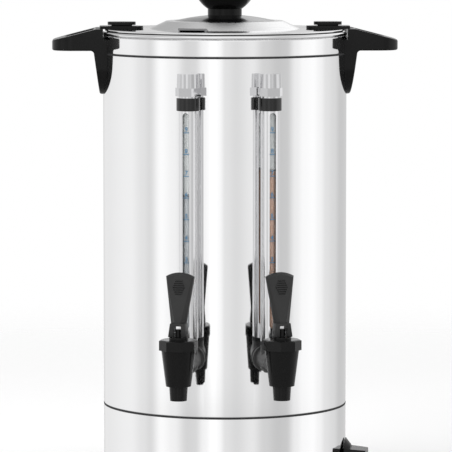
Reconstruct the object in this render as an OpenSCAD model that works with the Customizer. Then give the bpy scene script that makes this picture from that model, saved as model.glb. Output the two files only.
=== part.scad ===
// Twin-tap hot drinks urn: a polished round steel body with two chambers, two lever taps under
// slotted level gauges, a twist-lock lid, two side handles and a thermostat knob.
// Millimetres, +Z up. The origin is on the floor, under the middle of the whole outline.

/* [Body] */
// Thickness of the steel sheet of base, shell and collar
sheet_t = 1.0; // [0.6:0.1:1.5]
// Height of the base shell above its feet
base_h = 88; // [80:1:120]
// Height of the outer shell between its two seams
shell_h = 375.5; // [345:0.5:440]
// Height of the collar above the upper seam
collar_h = 18.5; // [16:0.5:30]
// Width of the in-turned flanges at the seams
flange_w = 4; // [3:0.5:6]
// Radius of the rounded sheet edges at the seams
seam_r = 1.4; // [1.1:0.1:2]

/* [Feet] */
// Height of the rubber feet below the base
foot_h = 12; // [8:1:20]
// Diameter of a rubber foot
foot_d = 28; // [20:1:36]
// Distance of the feet from the body axis
foot_pitch_r = 98; // [80:1:102]
// Thickness of the bottom plate
plate_t = 1.5; // [1:0.1:3]

/* [Tank] */
// Outside diameter of the inner tank, which the shell is built around
tank_d = 236; // [216:1:276]
// Width of the jacket, from the tank's wall to the outside of the shell
jacket_w = 12; // [10:0.5:20]
// Wall of the inner tank
tank_t = 1.0; // [0.6:0.1:1.5]
// Height of the tank floor above the lower seam
tank_lift = 18; // [14:1:30]
// Radius of the rolled rim
bead_r = 2.2; // [1.6:0.1:3]
// Thickness of the wall between the two chambers
divider_t = 2; // [1:0.5:4]
// Distance of the divider's top below the collar's top
divider_drop = 16; // [13:1:60]

/* [Heating] */
// Diameter of the heater plate under the tank
heater_d = 180; // [140:1:210]
// Thickness of the heater plate
heater_t = 5; // [3:0.5:8]
// Diameter of the heating ring, at the middle of its tube
element_d = 140; // [110:1:150]
// Diameter of the heating tube
element_tube_d = 8; // [6:0.5:10]
// Bore of the cable gland
gland_bore_d = 7.5; // [6:0.5:10]
// Across-corner size of the gland's outer nut
gland_nut_d = 24; // [20:1:30]
// Length of the gland outside the base
gland_out = 13; // [8:1:20]
// Height of the gland above the base's lower edge
gland_lift = 30; // [22:1:50]

/* [Thermostat] */
// Angle of the knob from the front, towards the right
control_az = 79.5; // [60:0.5:100]
// Height of the knob's axis above the base's lower edge
control_lift = 33; // [28:1:50]
// Diameter of the knob's skirt
control_d = 37; // [30:1:44]
// Depth of the knob's skirt
control_skirt_h = 6; // [4:0.5:8]
// Height of the grip bar above the skirt
control_grip_h = 17; // [10:1:20]
// Thickness of the grip bar at its foot
control_grip_t = 16.5; // [12:0.5:20]
// Diameter of the thermostat spindle
spindle_d = 6; // [5:0.5:8]

/* [Handles] */
// Reach of a handle beyond the shell
handle_reach = 54; // [46:1:70]
// Width of a handle along the shell
handle_w = 68; // [66:1:100]
// Depth of the shield plate below the upper seam
handle_drop = 44; // [40:1:70]
// Corner radius at the foot of the shield plate
handle_tip_r = 30; // [20:1:32]
// Thickness of the shield plate at its top
handle_plate_t = 10; // [9:0.5:14]
// Thickness of the shield plate at its foot
handle_tip_t = 3.5; // [3:0.5:6]
// Height of the grip bar
grip_h = 11; // [9:0.5:16]
// Width of the grip bar and its two arms
grip_t = 14; // [11:0.5:18]
// Height of a handle at the shell, above the upper seam
handle_rise = 26; // [25:0.5:34]
// Diameter of the handle screws
handle_screw_d = 5; // [4:0.5:6]

/* [Lid] */
// Thickness of the lid sheet
lid_t = 1.0; // [0.6:0.1:1.5]
// Height of the lid seal
seal_h = 4.6; // [4.2:0.1:7]
// Diameter of the foot of the raised cone
cone_d = 162; // [140:1:190]
// Diameter of the top of the raised cone
cone_top_d = 125; // [116:1:134]
// Height of the raised cone
cone_h = 8.5; // [6:0.5:16]
// Diameter of the dome in the middle
dome_d = 107; // [90:1:112]
// Height of the dome
dome_h = 6.5; // [4:0.5:12]
// Diameter of the knob's neck
knob_neck_d = 36.4; // [28:0.2:44]
// Height of the knob's neck
knob_neck_h = 7; // [5:0.5:12]
// Diameter of the knob at its widest
knob_d = 63; // [56:1:66]
// Radius of the knob's underside
knob_under_r = 33.7; // [33.5:0.1:36]
// Radius of the knob's crown
knob_crown_r = 38; // [35:0.5:50]
// Height of the knob above its neck
knob_h = 43; // [40:0.5:50]
// Angle that the lid turns to lock
twist = 8; // [7.5:0.5:9]
// Angle of the vent louvre from the front
louvre_az = -22; // [-40:1:40]

/* [Taps] */
// Angle of each tap from the front
tap_az = 16.5; // [14:0.1:30]
// Distance of the tap's axis from the shell
tap_reach = 57; // [54:0.5:70]
// Height of the shank's axis above the lower seam
shank_lift = 63; // [56:1:90]
// Outside diameter of the chrome shank
shank_d = 22; // [20:0.5:26]
// Thread diameter of the shank, through shell and tank
thread_d = 18; // [16:0.5:19]
// Bore of the shank
shank_bore_d = 10; // [8:0.5:11]
// Length of the spout
spout_h = 15; // [10:0.5:25]
// Diameter of the spout's mouth
spout_d = 17.3; // [16:0.1:20]
// Bore of the spout
spout_bore_d = 11; // [8:0.5:12]
// Diameter of the tap body at its foot
cone_foot_d = 26; // [25:0.1:28]
// Diameter of the tap body under its bonnet
cone_head_d = 35.3; // [33:0.1:36.5]
// Height of the tap body above its spout
tap_h = 37; // [35:0.5:45]
// Across-corner size of the eight-sided bonnet
bonnet_d = 40.4; // [38.5:0.1:43]
// Height of the bonnet
bonnet_h = 11; // [9:0.5:15]
// Diameter of the valve stem
stem_d = 6.4; // [5:0.2:6.8]
// Height of the round collar on the bonnet
collar_ring_t = 2.4; // [1:0.2:3]
// Height of the lever above the bonnet
lever_h = 69; // [60:0.5:90]
// Width of the lever's paddle at its top
paddle_w = 29.4; // [26:0.1:33]
// Width of the lever's waist
waist_w = 15.3; // [13:0.1:18]
// Width of the lever's foot
lever_foot_w = 19.5; // [18:0.1:24]
// Lean of the lever towards the body at rest
lever_lean = 8; // [4:0.5:10]
// Diameter of the lever pin
pin_d = 3; // [2:0.2:3.6]

/* [Gauges] */
// Distance of the gauge's axis from the shell
gauge_reach = 18.7; // [17.5:0.1:22]
// Outside diameter of the glass tube
glass_d = 14.4; // [12:0.2:15]
// Wall of the glass tube
glass_t = 1.2; // [0.8:0.1:1.6]
// Outside diameter of the steel shield
shield_d = 19.3; // [17:0.1:21]
// Wall of the steel shield
shield_t = 1.0; // [0.6:0.1:1.4]
// Length of the steel shield
shield_h = 239; // [200:1:265]
// Width of the shield's window
window_w = 7; // [5:0.2:9]
// Height of the black nut
nut_h = 13.2; // [10:0.2:18]
// Diameter of the black nut
nut_d = 24.2; // [22.5:0.1:25]
// Height of the chrome cap above its hexagon
cap_h = 14.5; // [10:0.5:20]
// Across-corner size of the chrome hexagon
hex_d = 27; // [25.5:0.1:28]

/* [Hidden] */
$fn = 64;
eps = 0.5;
seat_gap = 0.1;
slip = 0.3;
run_gap = 0.05;
cut = 400;

tank_r = tank_d / 2;
body_r = tank_r + jacket_w;
base_z = foot_h;
seam_z = base_z + base_h;
upper_seam_z = seam_z + shell_h;
collar_top = upper_seam_z + collar_h;
tank_floor = seam_z + tank_lift;
flange_top = collar_top + tank_t;
bead_sink = 0.3;
bead_z = collar_top + bead_r - bead_sink;
bead_proud = 0.7;
bead_mid_r = body_r - bead_r + bead_proud;
bead_out_r = bead_mid_r + bead_r;
bead_top = bead_z + bead_r;

seal_step = 1;
seal_in_r = tank_r + seal_step;
seal_out_r = bead_mid_r - bead_r - slip;
seal_bottom = flange_top + seat_gap;
lid_under = seal_bottom + seal_h + seat_gap;
lid_top = lid_under + lid_t;
lid_inset = 2;
lid_r = body_r - lid_inset;
skirt_gap = 1;
lid_skirt_r = tank_r - tank_t - skirt_gap;
lid_skirt_h = 9;
cone_top_z = lid_top + cone_h;
dome_top_z = cone_top_z + dome_h;

plate_z = base_z + sheet_t;
plate_top = plate_z + plate_t;
plate_r = body_r - sheet_t - slip;
foot_screw_d = 4;

gland_z = base_z + gland_lift;
gland_wall = 4;
gland_hole_r = gland_bore_d / 2 + gland_wall;
control_z = base_z + control_lift;
control_gap = 1.0;
control_back = body_r + control_gap;
thermo_w = 40;
thermo_h = 34;
thermo_depth = 26;
thermo_face = sqrt(pow(body_r - sheet_t, 2) - pow(thermo_w / 2, 2)) - slip;
bush_wall = 2;
bush_r = spindle_d / 2 + bush_wall;
bush_out = 0.6;
spindle_inside = 12;
spindle_in_knob = 6;
spindle_spare = 2;

tap_r = body_r + tap_reach;
gauge_r = body_r + gauge_reach;
shank_z = seam_z + shank_lift;
shank_r = shank_d / 2;
thread_r = thread_d / 2;
thread_inside = 16;
thread_end = tank_r - tank_t - thread_inside;
washer_t = 2;
washer_lip = 2;
washer_r = shank_r + washer_lip;
shank_flange_lip = 2.5;
shank_flange_r = shank_r + shank_flange_lip;
shank_flange_t = 2.5;
boss_back = 20;
boss_end = tap_r - boss_back;
boss_lip = 1;
boss_r = shank_r + boss_lip;
spigot_r = 7.5;
spigot_back = 13.5;
spigot_end = tap_r - spigot_back;
tap_drop = 22;
tap_foot_z = shank_z - tap_drop;
tap_head_z = tap_foot_z + tap_h;
spout_z = tap_foot_z - spout_h;
chamber_r = 11;
seat_lift = 7;
seat_z = tap_foot_z + seat_lift;
neck_r = 14.2;
bonnet_roof = 4;
neck_h = bonnet_h - bonnet_roof;
bonnet_r = bonnet_d / 2;
bonnet_sides = 8;
bonnet_turn = 180 / bonnet_sides;
bonnet_top = tap_head_z + bonnet_h;
stem_r = stem_d / 2;
cup_r = 9;
cup_h = 4;
cup_socket = 2;
cup_top = seat_z + seat_gap + cup_h;
pin_up = 7.2;
pin_z = bonnet_top + pin_up;
stem_nose = 2.2;
stem_top = pin_z + pin_d / 2 + stem_nose;
lever_foot_h = 17;
lever_slot_gap = 1.7;
lever_slot_w = stem_d + lever_slot_gap;
lever_slot_rise = 5.5;
lever_slot_h = pin_up + pin_d / 2 + lever_slot_rise;
lever_foot_half = 5.7;
waist_z = bonnet_top + lever_foot_h;
paddle_t = 8;

boss_rise = 15.5;
boss_top = shank_z + boss_rise;
lower_seal_h = 4.2;
shield_z = boss_top + lower_seal_h;
shield_top = shield_z + shield_h;
glass_in_boss = 7;
glass_z = boss_top - glass_in_boss;
nut_top = shield_top + nut_h;
collar_ring_h = 1.8;
hex_z = nut_top + collar_ring_h;
hex_h = 8.5;
glass_in_cap = 5;
glass_top = hex_z + glass_in_cap;

tab_gap = 0.8;
lug_in_r = bead_out_r + tab_gap;
tab_t = 2.2;
lug_l = 3;
lug_out_r = lug_in_r + tab_t + lug_l;
lug_drop = 3;
lug_z = collar_top - lug_drop;
lug_h = 2.6;
lug_half = 3;
notch_spare = 1.5;
notch_half = lug_half + notch_spare;
hook_gap = 0.6;
lock_r = lug_out_r + hook_gap;
ear_t = 3.2;
ear_w = 30;
ear_margin = 6;
ear_in_r = cone_d / 2 + ear_margin;

front_reach = bonnet_r * sin(bonnet_turn) * sin(tap_az)
    + (tap_r + bonnet_r * cos(bonnet_turn)) * cos(tap_az);
rear_reach = body_r + gland_out;
axis_y = (front_reach - rear_reach) / 2;

// Moves the urn so that the middle of its outline stands over the origin
module placed() {
    translate([0, axis_y, 0]) children();
}

// Turns a piece drawn at the front to its tap's place, -1 on the left and 1 on the right
module at_tap(side) {
    placed() rotate([0, 0, side * tap_az]) children();
}

// A cylinder that points outwards from the body axis at the front, between two radii
module outward(r_from, r_to, r, z) {
    translate([0, -r_from, z]) rotate([90, 0, 0]) cylinder(r = r, h = r_to - r_from);
}

// Profile of a rolled sheet ring with in-turned flanges, rounded where a seam shows
module sheet_profile(r, z_low, z_high, flange_low, flange_high, round_low, round_high) {
    intersection() {
        union() {
            translate([r - sheet_t, z_low]) square([sheet_t, z_high - z_low]);
            translate([r - flange_low, z_low]) square([flange_low, sheet_t]);
            translate([r - flange_high, z_high - sheet_t]) square([flange_high, sheet_t]);
        }
        union() {
            translate([0, z_low]) square([r - seam_r, z_high - z_low]);
            translate([0, z_low + round_low]) square([r, z_high - z_low - round_low - round_high]);
            translate([r - seam_r, z_low + seam_r]) circle(seam_r);
            translate([r - seam_r, z_high - seam_r]) circle(seam_r);
        }
    }
}

// A ring with a round bore
module ring(r_out, r_in, h) {
    difference() {
        cylinder(r = r_out, h = h);
        translate([0, 0, -eps]) cylinder(r = r_in, h = h + 2 * eps);
    }
}

module bottom_plate() {
    color("silver") placed() difference() {
        translate([0, 0, plate_z]) cylinder(r = plate_r, h = plate_t);
        for (a = [45:90:315]) rotate([0, 0, a]) translate([foot_pitch_r, 0, 0])
            cylinder(d = foot_screw_d + slip, h = plate_top + eps);
    }
}

module rubber_feet() {
    taper = 4;
    color("#202022") placed() for (a = [45:90:315]) rotate([0, 0, a]) translate([foot_pitch_r, 0, 0])
        difference() {
            cylinder(d1 = foot_d - taper, d2 = foot_d, h = plate_z);
            translate([0, 0, -eps]) cylinder(r = foot_screw_d, h = plate_z / 2 + eps);
            cylinder(d = foot_screw_d + slip, h = plate_z + eps);
        }
}

module foot_screws() {
    head_h = 2.4;
    nut_end = 4;
    color("gainsboro") placed() for (a = [45:90:315]) rotate([0, 0, a]) translate([foot_pitch_r, 0, 0]) {
        translate([0, 0, plate_z / 2 - head_h]) cylinder(r = foot_screw_d - slip, h = head_h);
        translate([0, 0, plate_z / 2 - eps]) cylinder(d = foot_screw_d, h = plate_z / 2 + plate_t + nut_end);
    }
}

module base_shell() {
    color("silver") placed() difference() {
        rotate_extrude() sheet_profile(body_r, base_z, seam_z, flange_w * 2, flange_w, seam_r, seam_r);
        rotate([0, 0, control_az]) outward(body_r / 2, body_r + cut, bush_r + slip, control_z);
        rotate([0, 0, 180]) outward(body_r / 2, body_r + cut, gland_hole_r + slip, gland_z);
    }
}

module outer_shell() {
    color("gainsboro") placed() difference() {
        rotate_extrude() sheet_profile(body_r, seam_z, upper_seam_z, flange_w, flange_w, seam_r, seam_r);
        for (side = [-1, 1]) {
            rotate([0, 0, side * tap_az]) outward(body_r / 2, body_r + cut, thread_r + slip, shank_z);
            rotate([0, 0, side * 90]) handle_screw_holes(handle_screw_d / 2 + slip, body_r / 2);
        }
    }
}

module top_collar() {
    color("gainsboro") placed() rotate_extrude()
        sheet_profile(body_r, upper_seam_z, collar_top, flange_w, flange_w, seam_r, seam_r);
}

module inner_tank() {
    tank_in_r = tank_r - tank_t;
    color("silver") placed() difference() {
        rotate_extrude() difference() {
            union() {
                translate([0, tank_floor - tank_t]) square([tank_r, tank_t]);
                translate([tank_in_r, tank_floor - tank_t])
                    square([tank_t, flange_top - tank_floor + tank_t]);
                translate([tank_in_r, collar_top]) square([bead_mid_r - tank_in_r, tank_t]);
                translate([bead_mid_r, bead_z]) circle(bead_r);
            }
            translate([bead_mid_r - 2 * bead_r, collar_top - 2 * bead_r]) square([4 * bead_r, 2 * bead_r]);
        }
        for (side = [-1, 1])
            rotate([0, 0, side * tap_az]) outward(tank_r / 2, tank_r + cut, thread_r + slip, shank_z);
    }
}

module tank_divider() {
    color("silver") placed() intersection() {
        translate([-divider_t / 2, -tank_r, tank_floor])
            cube([divider_t, tank_d, collar_top - divider_drop - tank_floor]);
        cylinder(r = tank_r - tank_t - seat_gap, h = collar_top);
    }
}

heater_z = tank_floor - tank_t - heater_t;
element_flat = 0.8;

module heater_plate() {
    color("lightgray") placed() translate([0, 0, heater_z]) cylinder(d = heater_d, h = heater_t);
}

// Heating tube, flattened where it is brazed to the plate, with its two cold ends turned down
module heating_element() {
    element_r = element_tube_d / 2;
    sweep = 330;
    end_angle = 3;
    cold_end = 14;
    cold_end_r = element_r * 0.7;
    color("dimgray") placed() translate([0, 0, heater_z - element_r + element_flat]) difference() {
        union() {
            rotate_extrude(angle = sweep) translate([element_d / 2, 0]) circle(element_r);
            for (a = [end_angle, sweep - end_angle]) rotate([0, 0, a])
                translate([element_d / 2, 0, -cold_end]) cylinder(r = cold_end_r, h = cold_end);
        }
        translate([0, 0, element_r - element_flat]) cylinder(r = element_d, h = element_tube_d);
    }
}

module thermal_cutout() {
    cutout_r = 10;
    cutout_h = 6;
    blade_w = 6;
    blade_t = 0.8;
    blade_l = 8;
    color("ivory") placed() translate([0, 0, heater_z - cutout_h]) {
        cylinder(r = cutout_r, h = cutout_h);
        for (x = [-1, 1]) translate([x * cutout_r / 2 - blade_w / 2, -blade_t / 2, -blade_l])
            cube([blade_w, blade_t, blade_l + eps]);
    }
}

module terminal_block() {
    ways = 3;
    pitch = 14;
    depth = 20;
    height = 17;
    color("white") placed() translate([0, body_r / 2, plate_top]) difference() {
        translate([-ways * pitch / 2, -depth / 2, 0]) cube([ways * pitch, depth, height]);
        for (i = [0:ways - 1]) translate([(i - (ways - 1) / 2) * pitch, -depth, height / 2])
            rotate([-90, 0, 0]) cylinder(d = pitch / 2, h = 2 * depth);
    }
}

// Threaded gland in the back of the base: hexagonal nut, nose, thread and inner lock nut
module cable_gland() {
    nut_r = gland_nut_d / 2;
    outer_nut_h = gland_out * 0.6;
    nose_r = nut_r * 0.72;
    lock_t = 5;
    thread_spare = 2;
    lock_face = sqrt(pow(body_r - sheet_t, 2) - pow(nut_r, 2)) - seat_gap;
    color("#2a2a2c") placed() rotate([0, 0, 180]) difference() {
        union() {
            translate([0, -body_r - seat_gap, gland_z]) rotate([90, 0, 0])
                cylinder(r = nut_r, h = outer_nut_h, $fn = 6);
            outward(body_r + eps, body_r + gland_out, nose_r, gland_z);
            outward(lock_face - lock_t - thread_spare, body_r + eps, gland_hole_r, gland_z);
            translate([0, -lock_face + lock_t, gland_z]) rotate([90, 0, 0])
                cylinder(r = nut_r, h = lock_t, $fn = 6);
        }
        outward(body_r / 2, body_r + cut, gland_bore_d / 2, gland_z);
    }
}

module thermostat_body() {
    color("ivory") placed() rotate([0, 0, control_az]) difference() {
        union() {
            translate([-thermo_w / 2, -thermo_face, control_z - thermo_h / 2])
                cube([thermo_w, thermo_depth, thermo_h]);
            outward(thermo_face - eps, body_r + bush_out, bush_r, control_z);
        }
        outward(thermo_face - spindle_inside - spindle_spare, body_r + cut,
            spindle_d / 2 + run_gap, control_z);
    }
}

module thermostat_spindle() {
    color("gray") placed() rotate([0, 0, control_az])
        outward(thermo_face - spindle_inside, control_back + control_skirt_h + spindle_in_knob,
            spindle_d / 2, control_z);
}

// Knob with a coned skirt and a tapered finger bar across it
module control_knob() {
    skirt_r = control_d / 2;
    skirt_taper = 0.6;
    bar_taper = 0.78;
    bar_lean = 2;
    bar_half = control_grip_t / 2;
    bar_top_half = bar_half - bar_lean;
    bar_top = control_back + control_skirt_h + control_grip_h;
    color("#1c1c1e") placed() rotate([0, 0, control_az]) difference() {
        union() {
            translate([0, -control_back, control_z]) rotate([90, 0, 0])
                cylinder(r1 = skirt_r, r2 = skirt_r * skirt_taper, h = control_skirt_h);
            intersection() {
                translate([-skirt_r, 0, control_z]) rotate([90, 0, 90]) linear_extrude(control_d)
                    polygon([[-control_back - eps, -bar_half], [-bar_top, -bar_top_half],
                        [-bar_top, bar_top_half], [-control_back - eps, bar_half]]);
                translate([0, -control_back, control_z]) rotate([90, 0, 0])
                    cylinder(r1 = skirt_r, r2 = skirt_r * bar_taper, h = control_skirt_h + control_grip_h);
            }
        }
        outward(body_r, control_back + control_skirt_h + spindle_in_knob + spindle_spare / 2,
            spindle_d / 2 + run_gap / 2, control_z);
    }
}

handle_arm_lift = 3;
handle_arm_z = upper_seam_z + handle_arm_lift;
handle_top_z = upper_seam_z + handle_rise;
handle_out_r = body_r + handle_reach;
handle_tip_z = upper_seam_z - handle_drop;
handle_root = 12;
handle_in_r = body_r - handle_root;
screw_lifts = [-12, -26];
screw_cover = 2;
lug_floor = lug_z - hook_gap;

// Radius of the shield plate's outer face at a height above the upper seam
function plate_face(lift) = body_r + handle_tip_t
    + (handle_plate_t - handle_tip_t) * (lift + handle_drop) / (handle_arm_z - handle_tip_z);

module handle_screw_holes(r, r_from) {
    for (lift = screw_lifts) outward(r_from, plate_face(lift) - screw_cover, r, upper_seam_z + lift);
}

// Outline of the shield plate on the shell, seen from the side of the urn
module shield_outline() {
    half = handle_w / 2;
    translate([-half, handle_tip_z + handle_tip_r]) square([handle_w, handle_top_z - handle_tip_z]);
    translate([-half + handle_tip_r, handle_tip_z])
        square([handle_w - 2 * handle_tip_r, handle_tip_r + eps]);
    for (x = [-1, 1])
        translate([x * (half - handle_tip_r), handle_tip_z + handle_tip_r]) circle(handle_tip_r);
}

// Rounded D of the grip seen from above, between two radii from the body axis
module grip_outline(r_in, r_out, width, corner) {
    translate([r_in, -width / 2]) square([r_out - r_in - corner, width]);
    translate([r_in, -width / 2 + corner]) square([r_out - r_in, width - 2 * corner]);
    for (y = [-1, 1]) translate([r_out - corner, y * (width / 2 - corner)]) circle(corner);
}

// Ring sector about the body axis
module sector(r_in, r_out, z_low, z_high, a_from, a_to) {
    rotate([0, 0, a_from]) rotate_extrude(angle = a_to - a_from)
        translate([r_in, z_low]) square([r_out - r_in, z_high - z_low]);
}

// Side handle: shield plate on the shell, sloped arms and grip bar, and the lock for the lid's lug
module side_handle() {
    plate_out = body_r + handle_plate_t;
    fillet = 5;
    bite = 0.25;
    fillet_r = plate_face(handle_arm_z - upper_seam_z - fillet) + fillet - bite;
    corner = 22;
    slope_in_r = plate_out - 3;
    difference() {
        union() {
            intersection() {
                rotate([90, 0, 0]) translate([0, 0, -cut / 2]) linear_extrude(cut) union() {
                    polygon([[handle_in_r, handle_tip_z], [body_r + handle_tip_t, handle_tip_z],
                        [plate_out, handle_arm_z], [plate_out, handle_arm_z + eps],
                        [handle_in_r, handle_arm_z + eps]]);
                    difference() {
                        translate([body_r, handle_arm_z - fillet]) square([fillet_r - body_r, fillet + eps]);
                        translate([fillet_r, handle_arm_z - fillet + bite]) circle(fillet);
                    }
                }
                rotate([90, 0, 90]) linear_extrude(cut) shield_outline();
            }
            intersection() {
                rotate([90, 0, 0]) translate([0, 0, -cut / 2]) linear_extrude(cut)
                    polygon([[handle_in_r, handle_arm_z], [handle_out_r, handle_arm_z],
                        [handle_out_r, handle_arm_z + grip_h], [slope_in_r, handle_top_z],
                        [handle_in_r, handle_top_z]]);
                translate([0, 0, handle_arm_z - eps]) linear_extrude(handle_rise + eps) difference() {
                    grip_outline(handle_in_r, handle_out_r, handle_w, corner);
                    grip_outline(plate_out, handle_out_r - grip_t, handle_w - 2 * grip_t, corner / 2);
                }
            }
        }
        cylinder(r = body_r + seat_gap, h = lug_floor + eps);
        translate([0, 0, lug_floor]) cylinder(r = lug_in_r + tab_t + hook_gap, h = cut);
        sector(body_r, lock_r, lug_floor, lug_z + lug_h + hook_gap, -twist - notch_half, notch_half);
        sector(body_r, lock_r + slip, lug_z + lug_h, handle_top_z + eps, 1 - notch_half, notch_half - 1);
        rotate([0, 0, 90]) handle_screw_holes(handle_screw_d / 2 + seat_gap, body_r / 2);
    }
}

module handle_left() {
    color("#1e1e20") placed() rotate([0, 0, 180]) side_handle();
}

module handle_right() {
    color("#1e1e20") placed() side_handle();
}

module handle_screws() {
    head_r = handle_screw_d * 0.9;
    head_t = 3;
    head_face = sqrt(pow(body_r - sheet_t, 2) - pow(head_r, 2)) - seat_gap;
    color("gainsboro") placed() for (side = [-1, 1], lift = screw_lifts) rotate([0, 0, side * 90]) {
        outward(head_face - head_t, head_face, head_r, upper_seam_z + lift);
        outward(head_face - eps, plate_face(lift) - screw_cover - slip,
            handle_screw_d / 2, upper_seam_z + lift);
    }
}

shank_socket = spigot_r + seat_gap;
glass_r = glass_d / 2;
glass_socket = glass_r + seat_gap;

// Black moulded shank through shell and tank, with the gauge's boss standing across it
module tap_shank(side) {
    flange_face = body_r + washer_t;
    boss_sink = shank_r + 2;
    boss_chamfer = 4;
    boss_r = shield_d / 2;
    color("#232325") at_tap(side) difference() {
        union() {
            outward(thread_end, flange_face + eps, thread_r, shank_z);
            outward(flange_face, flange_face + shank_flange_t, shank_flange_r, shank_z);
            outward(flange_face, boss_end - seat_gap, shank_r, shank_z);
            outward(boss_end - eps, spigot_end, spigot_r, shank_z);
            translate([0, -gauge_r, shank_z - boss_sink]) {
                cylinder(r1 = boss_r - boss_chamfer, r2 = boss_r, h = boss_chamfer);
                translate([0, 0, boss_chamfer])
                    cylinder(r = boss_r, h = boss_top - shank_z + boss_sink - boss_chamfer);
            }
        }
        outward(thread_end - eps, spigot_end + eps, shank_bore_d / 2, shank_z);
        translate([0, -gauge_r, shank_z]) cylinder(r = glass_r - glass_t, h = boss_top - shank_z + eps);
        translate([0, -gauge_r, glass_z - seat_gap])
            cylinder(r = glass_socket, h = boss_top - glass_z + eps);
    }
}

// Silicone washer, hollowed to the curve of the shell
module shank_washer(side) {
    color("#2b2b2d") at_tap(side) difference() {
        outward(body_r - washer_t, body_r + washer_t - seat_gap / 2, washer_r, shank_z);
        outward(body_r / 2, body_r + cut, thread_r + seat_gap, shank_z);
        cylinder(r = body_r + seat_gap / 2, h = shank_z * 2, $fn = 360);
    }
}

module shank_nut(side) {
    nut_wall = 5;
    nut_r = thread_r + nut_wall;
    nut_t = 6;
    nut_face = sqrt(pow(tank_r - tank_t, 2) - pow(nut_r, 2)) - seat_gap;
    color("gainsboro") at_tap(side) difference() {
        translate([0, -nut_face + nut_t, shank_z]) rotate([90, 0, 0])
            cylinder(r = nut_r, h = nut_t, $fn = 6);
        outward(tank_r / 2, tank_r, thread_r + seat_gap, shank_z);
    }
}

// Tap body: a tapered cup over the spout, with the socket for the shank at its back
module tap_body(side) {
    spout_flare = 2;
    color("#232325") at_tap(side) difference() {
        union() {
            translate([0, -tap_r, spout_z])
                cylinder(d1 = spout_d, d2 = spout_d + spout_flare, h = spout_h + eps);
            translate([0, -tap_r, tap_foot_z]) cylinder(d1 = cone_foot_d, d2 = cone_head_d, h = tap_h);
            translate([0, -tap_r, tap_head_z - eps]) cylinder(r = neck_r, h = neck_h + eps);
            outward(boss_end, tap_r - chamber_r, boss_r, shank_z);
        }
        translate([0, -tap_r, seat_z]) cylinder(r = chamber_r, h = tap_h + bonnet_h);
        translate([0, -tap_r, spout_z - eps]) cylinder(d = spout_bore_d, h = seat_z - spout_z + 2 * eps);
        outward(boss_end - eps, spigot_end + seat_gap, shank_socket, shank_z);
        outward(boss_end, tap_r, shank_bore_d / 2, shank_z);
    }
}

// Eight-sided bonnet that closes the tap body and guides the stem, with a collar under the lever
module tap_bonnet(side) {
    bevel = 1.2;
    bevel_in = 2.9;
    bevel_low_r = bonnet_r + bevel_in * (bonnet_h / bevel - 1);
    collar_r = 9.6;
    color("#262628") at_tap(side) translate([0, -tap_r, tap_head_z]) difference() {
        union() {
            intersection() {
                translate([0, 0, seat_gap]) rotate([0, 0, bonnet_turn])
                    cylinder(r = bonnet_r, h = bonnet_h - seat_gap, $fn = bonnet_sides);
                cylinder(r1 = bevel_low_r, r2 = bonnet_r - 2 * bevel_in, h = bonnet_h + bevel);
            }
            translate([0, 0, bonnet_h - eps]) cylinder(r = collar_r, h = collar_ring_t + eps);
        }
        translate([0, 0, -eps]) cylinder(r = neck_r + seat_gap, h = neck_h + seat_gap + eps);
        cylinder(r = stem_r + slip, h = bonnet_h + collar_ring_t + eps);
    }
}

module valve_stem(side) {
    color("#1a1a1c") at_tap(side) translate([0, -tap_r, 0]) difference() {
        translate([0, 0, cup_top - cup_socket]) cylinder(r = stem_r, h = stem_top - cup_top + cup_socket);
        translate([-stem_d, 0, pin_z]) rotate([0, 90, 0]) cylinder(d = pin_d + 2 * run_gap, h = 2 * stem_d);
    }
}

// Silicone cup that closes the spout
module seat_cup(side) {
    cup_taper = 2;
    sleeve_wall = 1.6;
    sleeve_h = 3.5;
    color("white") at_tap(side) translate([0, -tap_r, seat_z + seat_gap]) difference() {
        union() {
            cylinder(r1 = cup_r - cup_taper, r2 = cup_r, h = cup_h);
            translate([0, 0, cup_h - eps]) cylinder(r = stem_r + sleeve_wall, h = sleeve_h + eps);
        }
        translate([0, 0, cup_h - cup_socket - seat_gap]) cylinder(r = stem_r + seat_gap, h = cut);
    }
}

spring_turns = 5;
spring_wire_r = 0.7;
spring_r = 7.6;
spring_low = cup_top + spring_wire_r + seat_gap;
spring_high = tap_head_z + neck_h - spring_wire_r - seat_gap;
spring_steps = 16;
spring_sides = 6;

// Corner of the wire's section at one step of the coil
function spring_point(i, k) =
    let (a = 360 * i / spring_steps, b = 360 * k / spring_sides, r = spring_r + spring_wire_r * cos(b))
    [r * cos(a), r * sin(a),
     spring_low + (spring_high - spring_low) * i / (spring_turns * spring_steps) + spring_wire_r * sin(b)];

module stem_spring(side) {
    last = spring_turns * spring_steps;
    n = spring_sides;
    echo(least_gap = (spring_high - spring_low) / spring_turns - 2 * spring_wire_r);
    color("gainsboro") at_tap(side) translate([0, -tap_r, 0]) polyhedron(
        points = [for (i = [0:last], k = [0:n - 1]) spring_point(i, k)],
        faces = concat(
            [[for (k = [0:n - 1]) k], [for (k = [n - 1:-1:0]) last * n + k]],
            [for (i = [0:last - 1], k = [0:n - 1]) [i * n + k, (i + 1) * n + k, i * n + (k + 1) % n]],
            [for (i = [0:last - 1], k = [0:n - 1])
                [i * n + (k + 1) % n, (i + 1) * n + k, (i + 1) * n + (k + 1) % n]]
        )
    );
}

// Paddle seen from the front, from its waist up to the arc at its top
module paddle_outline(top_w, low_w, inset) {
    top = bonnet_top + lever_h - inset;
    rise = 4;
    arc_r = (pow(paddle_w / 2, 2) + rise * rise) / (2 * rise);
    intersection() {
        polygon([[-low_w / 2, waist_z - 1], [low_w / 2, waist_z - 1], [top_w / 2, top], [-top_w / 2, top]]);
        union() {
            translate([0, top - arc_r]) circle(arc_r, $fn = 48);
            translate([-paddle_w, waist_z - 2]) square([2 * paddle_w, lever_h / 2]);
        }
    }
}

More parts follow.
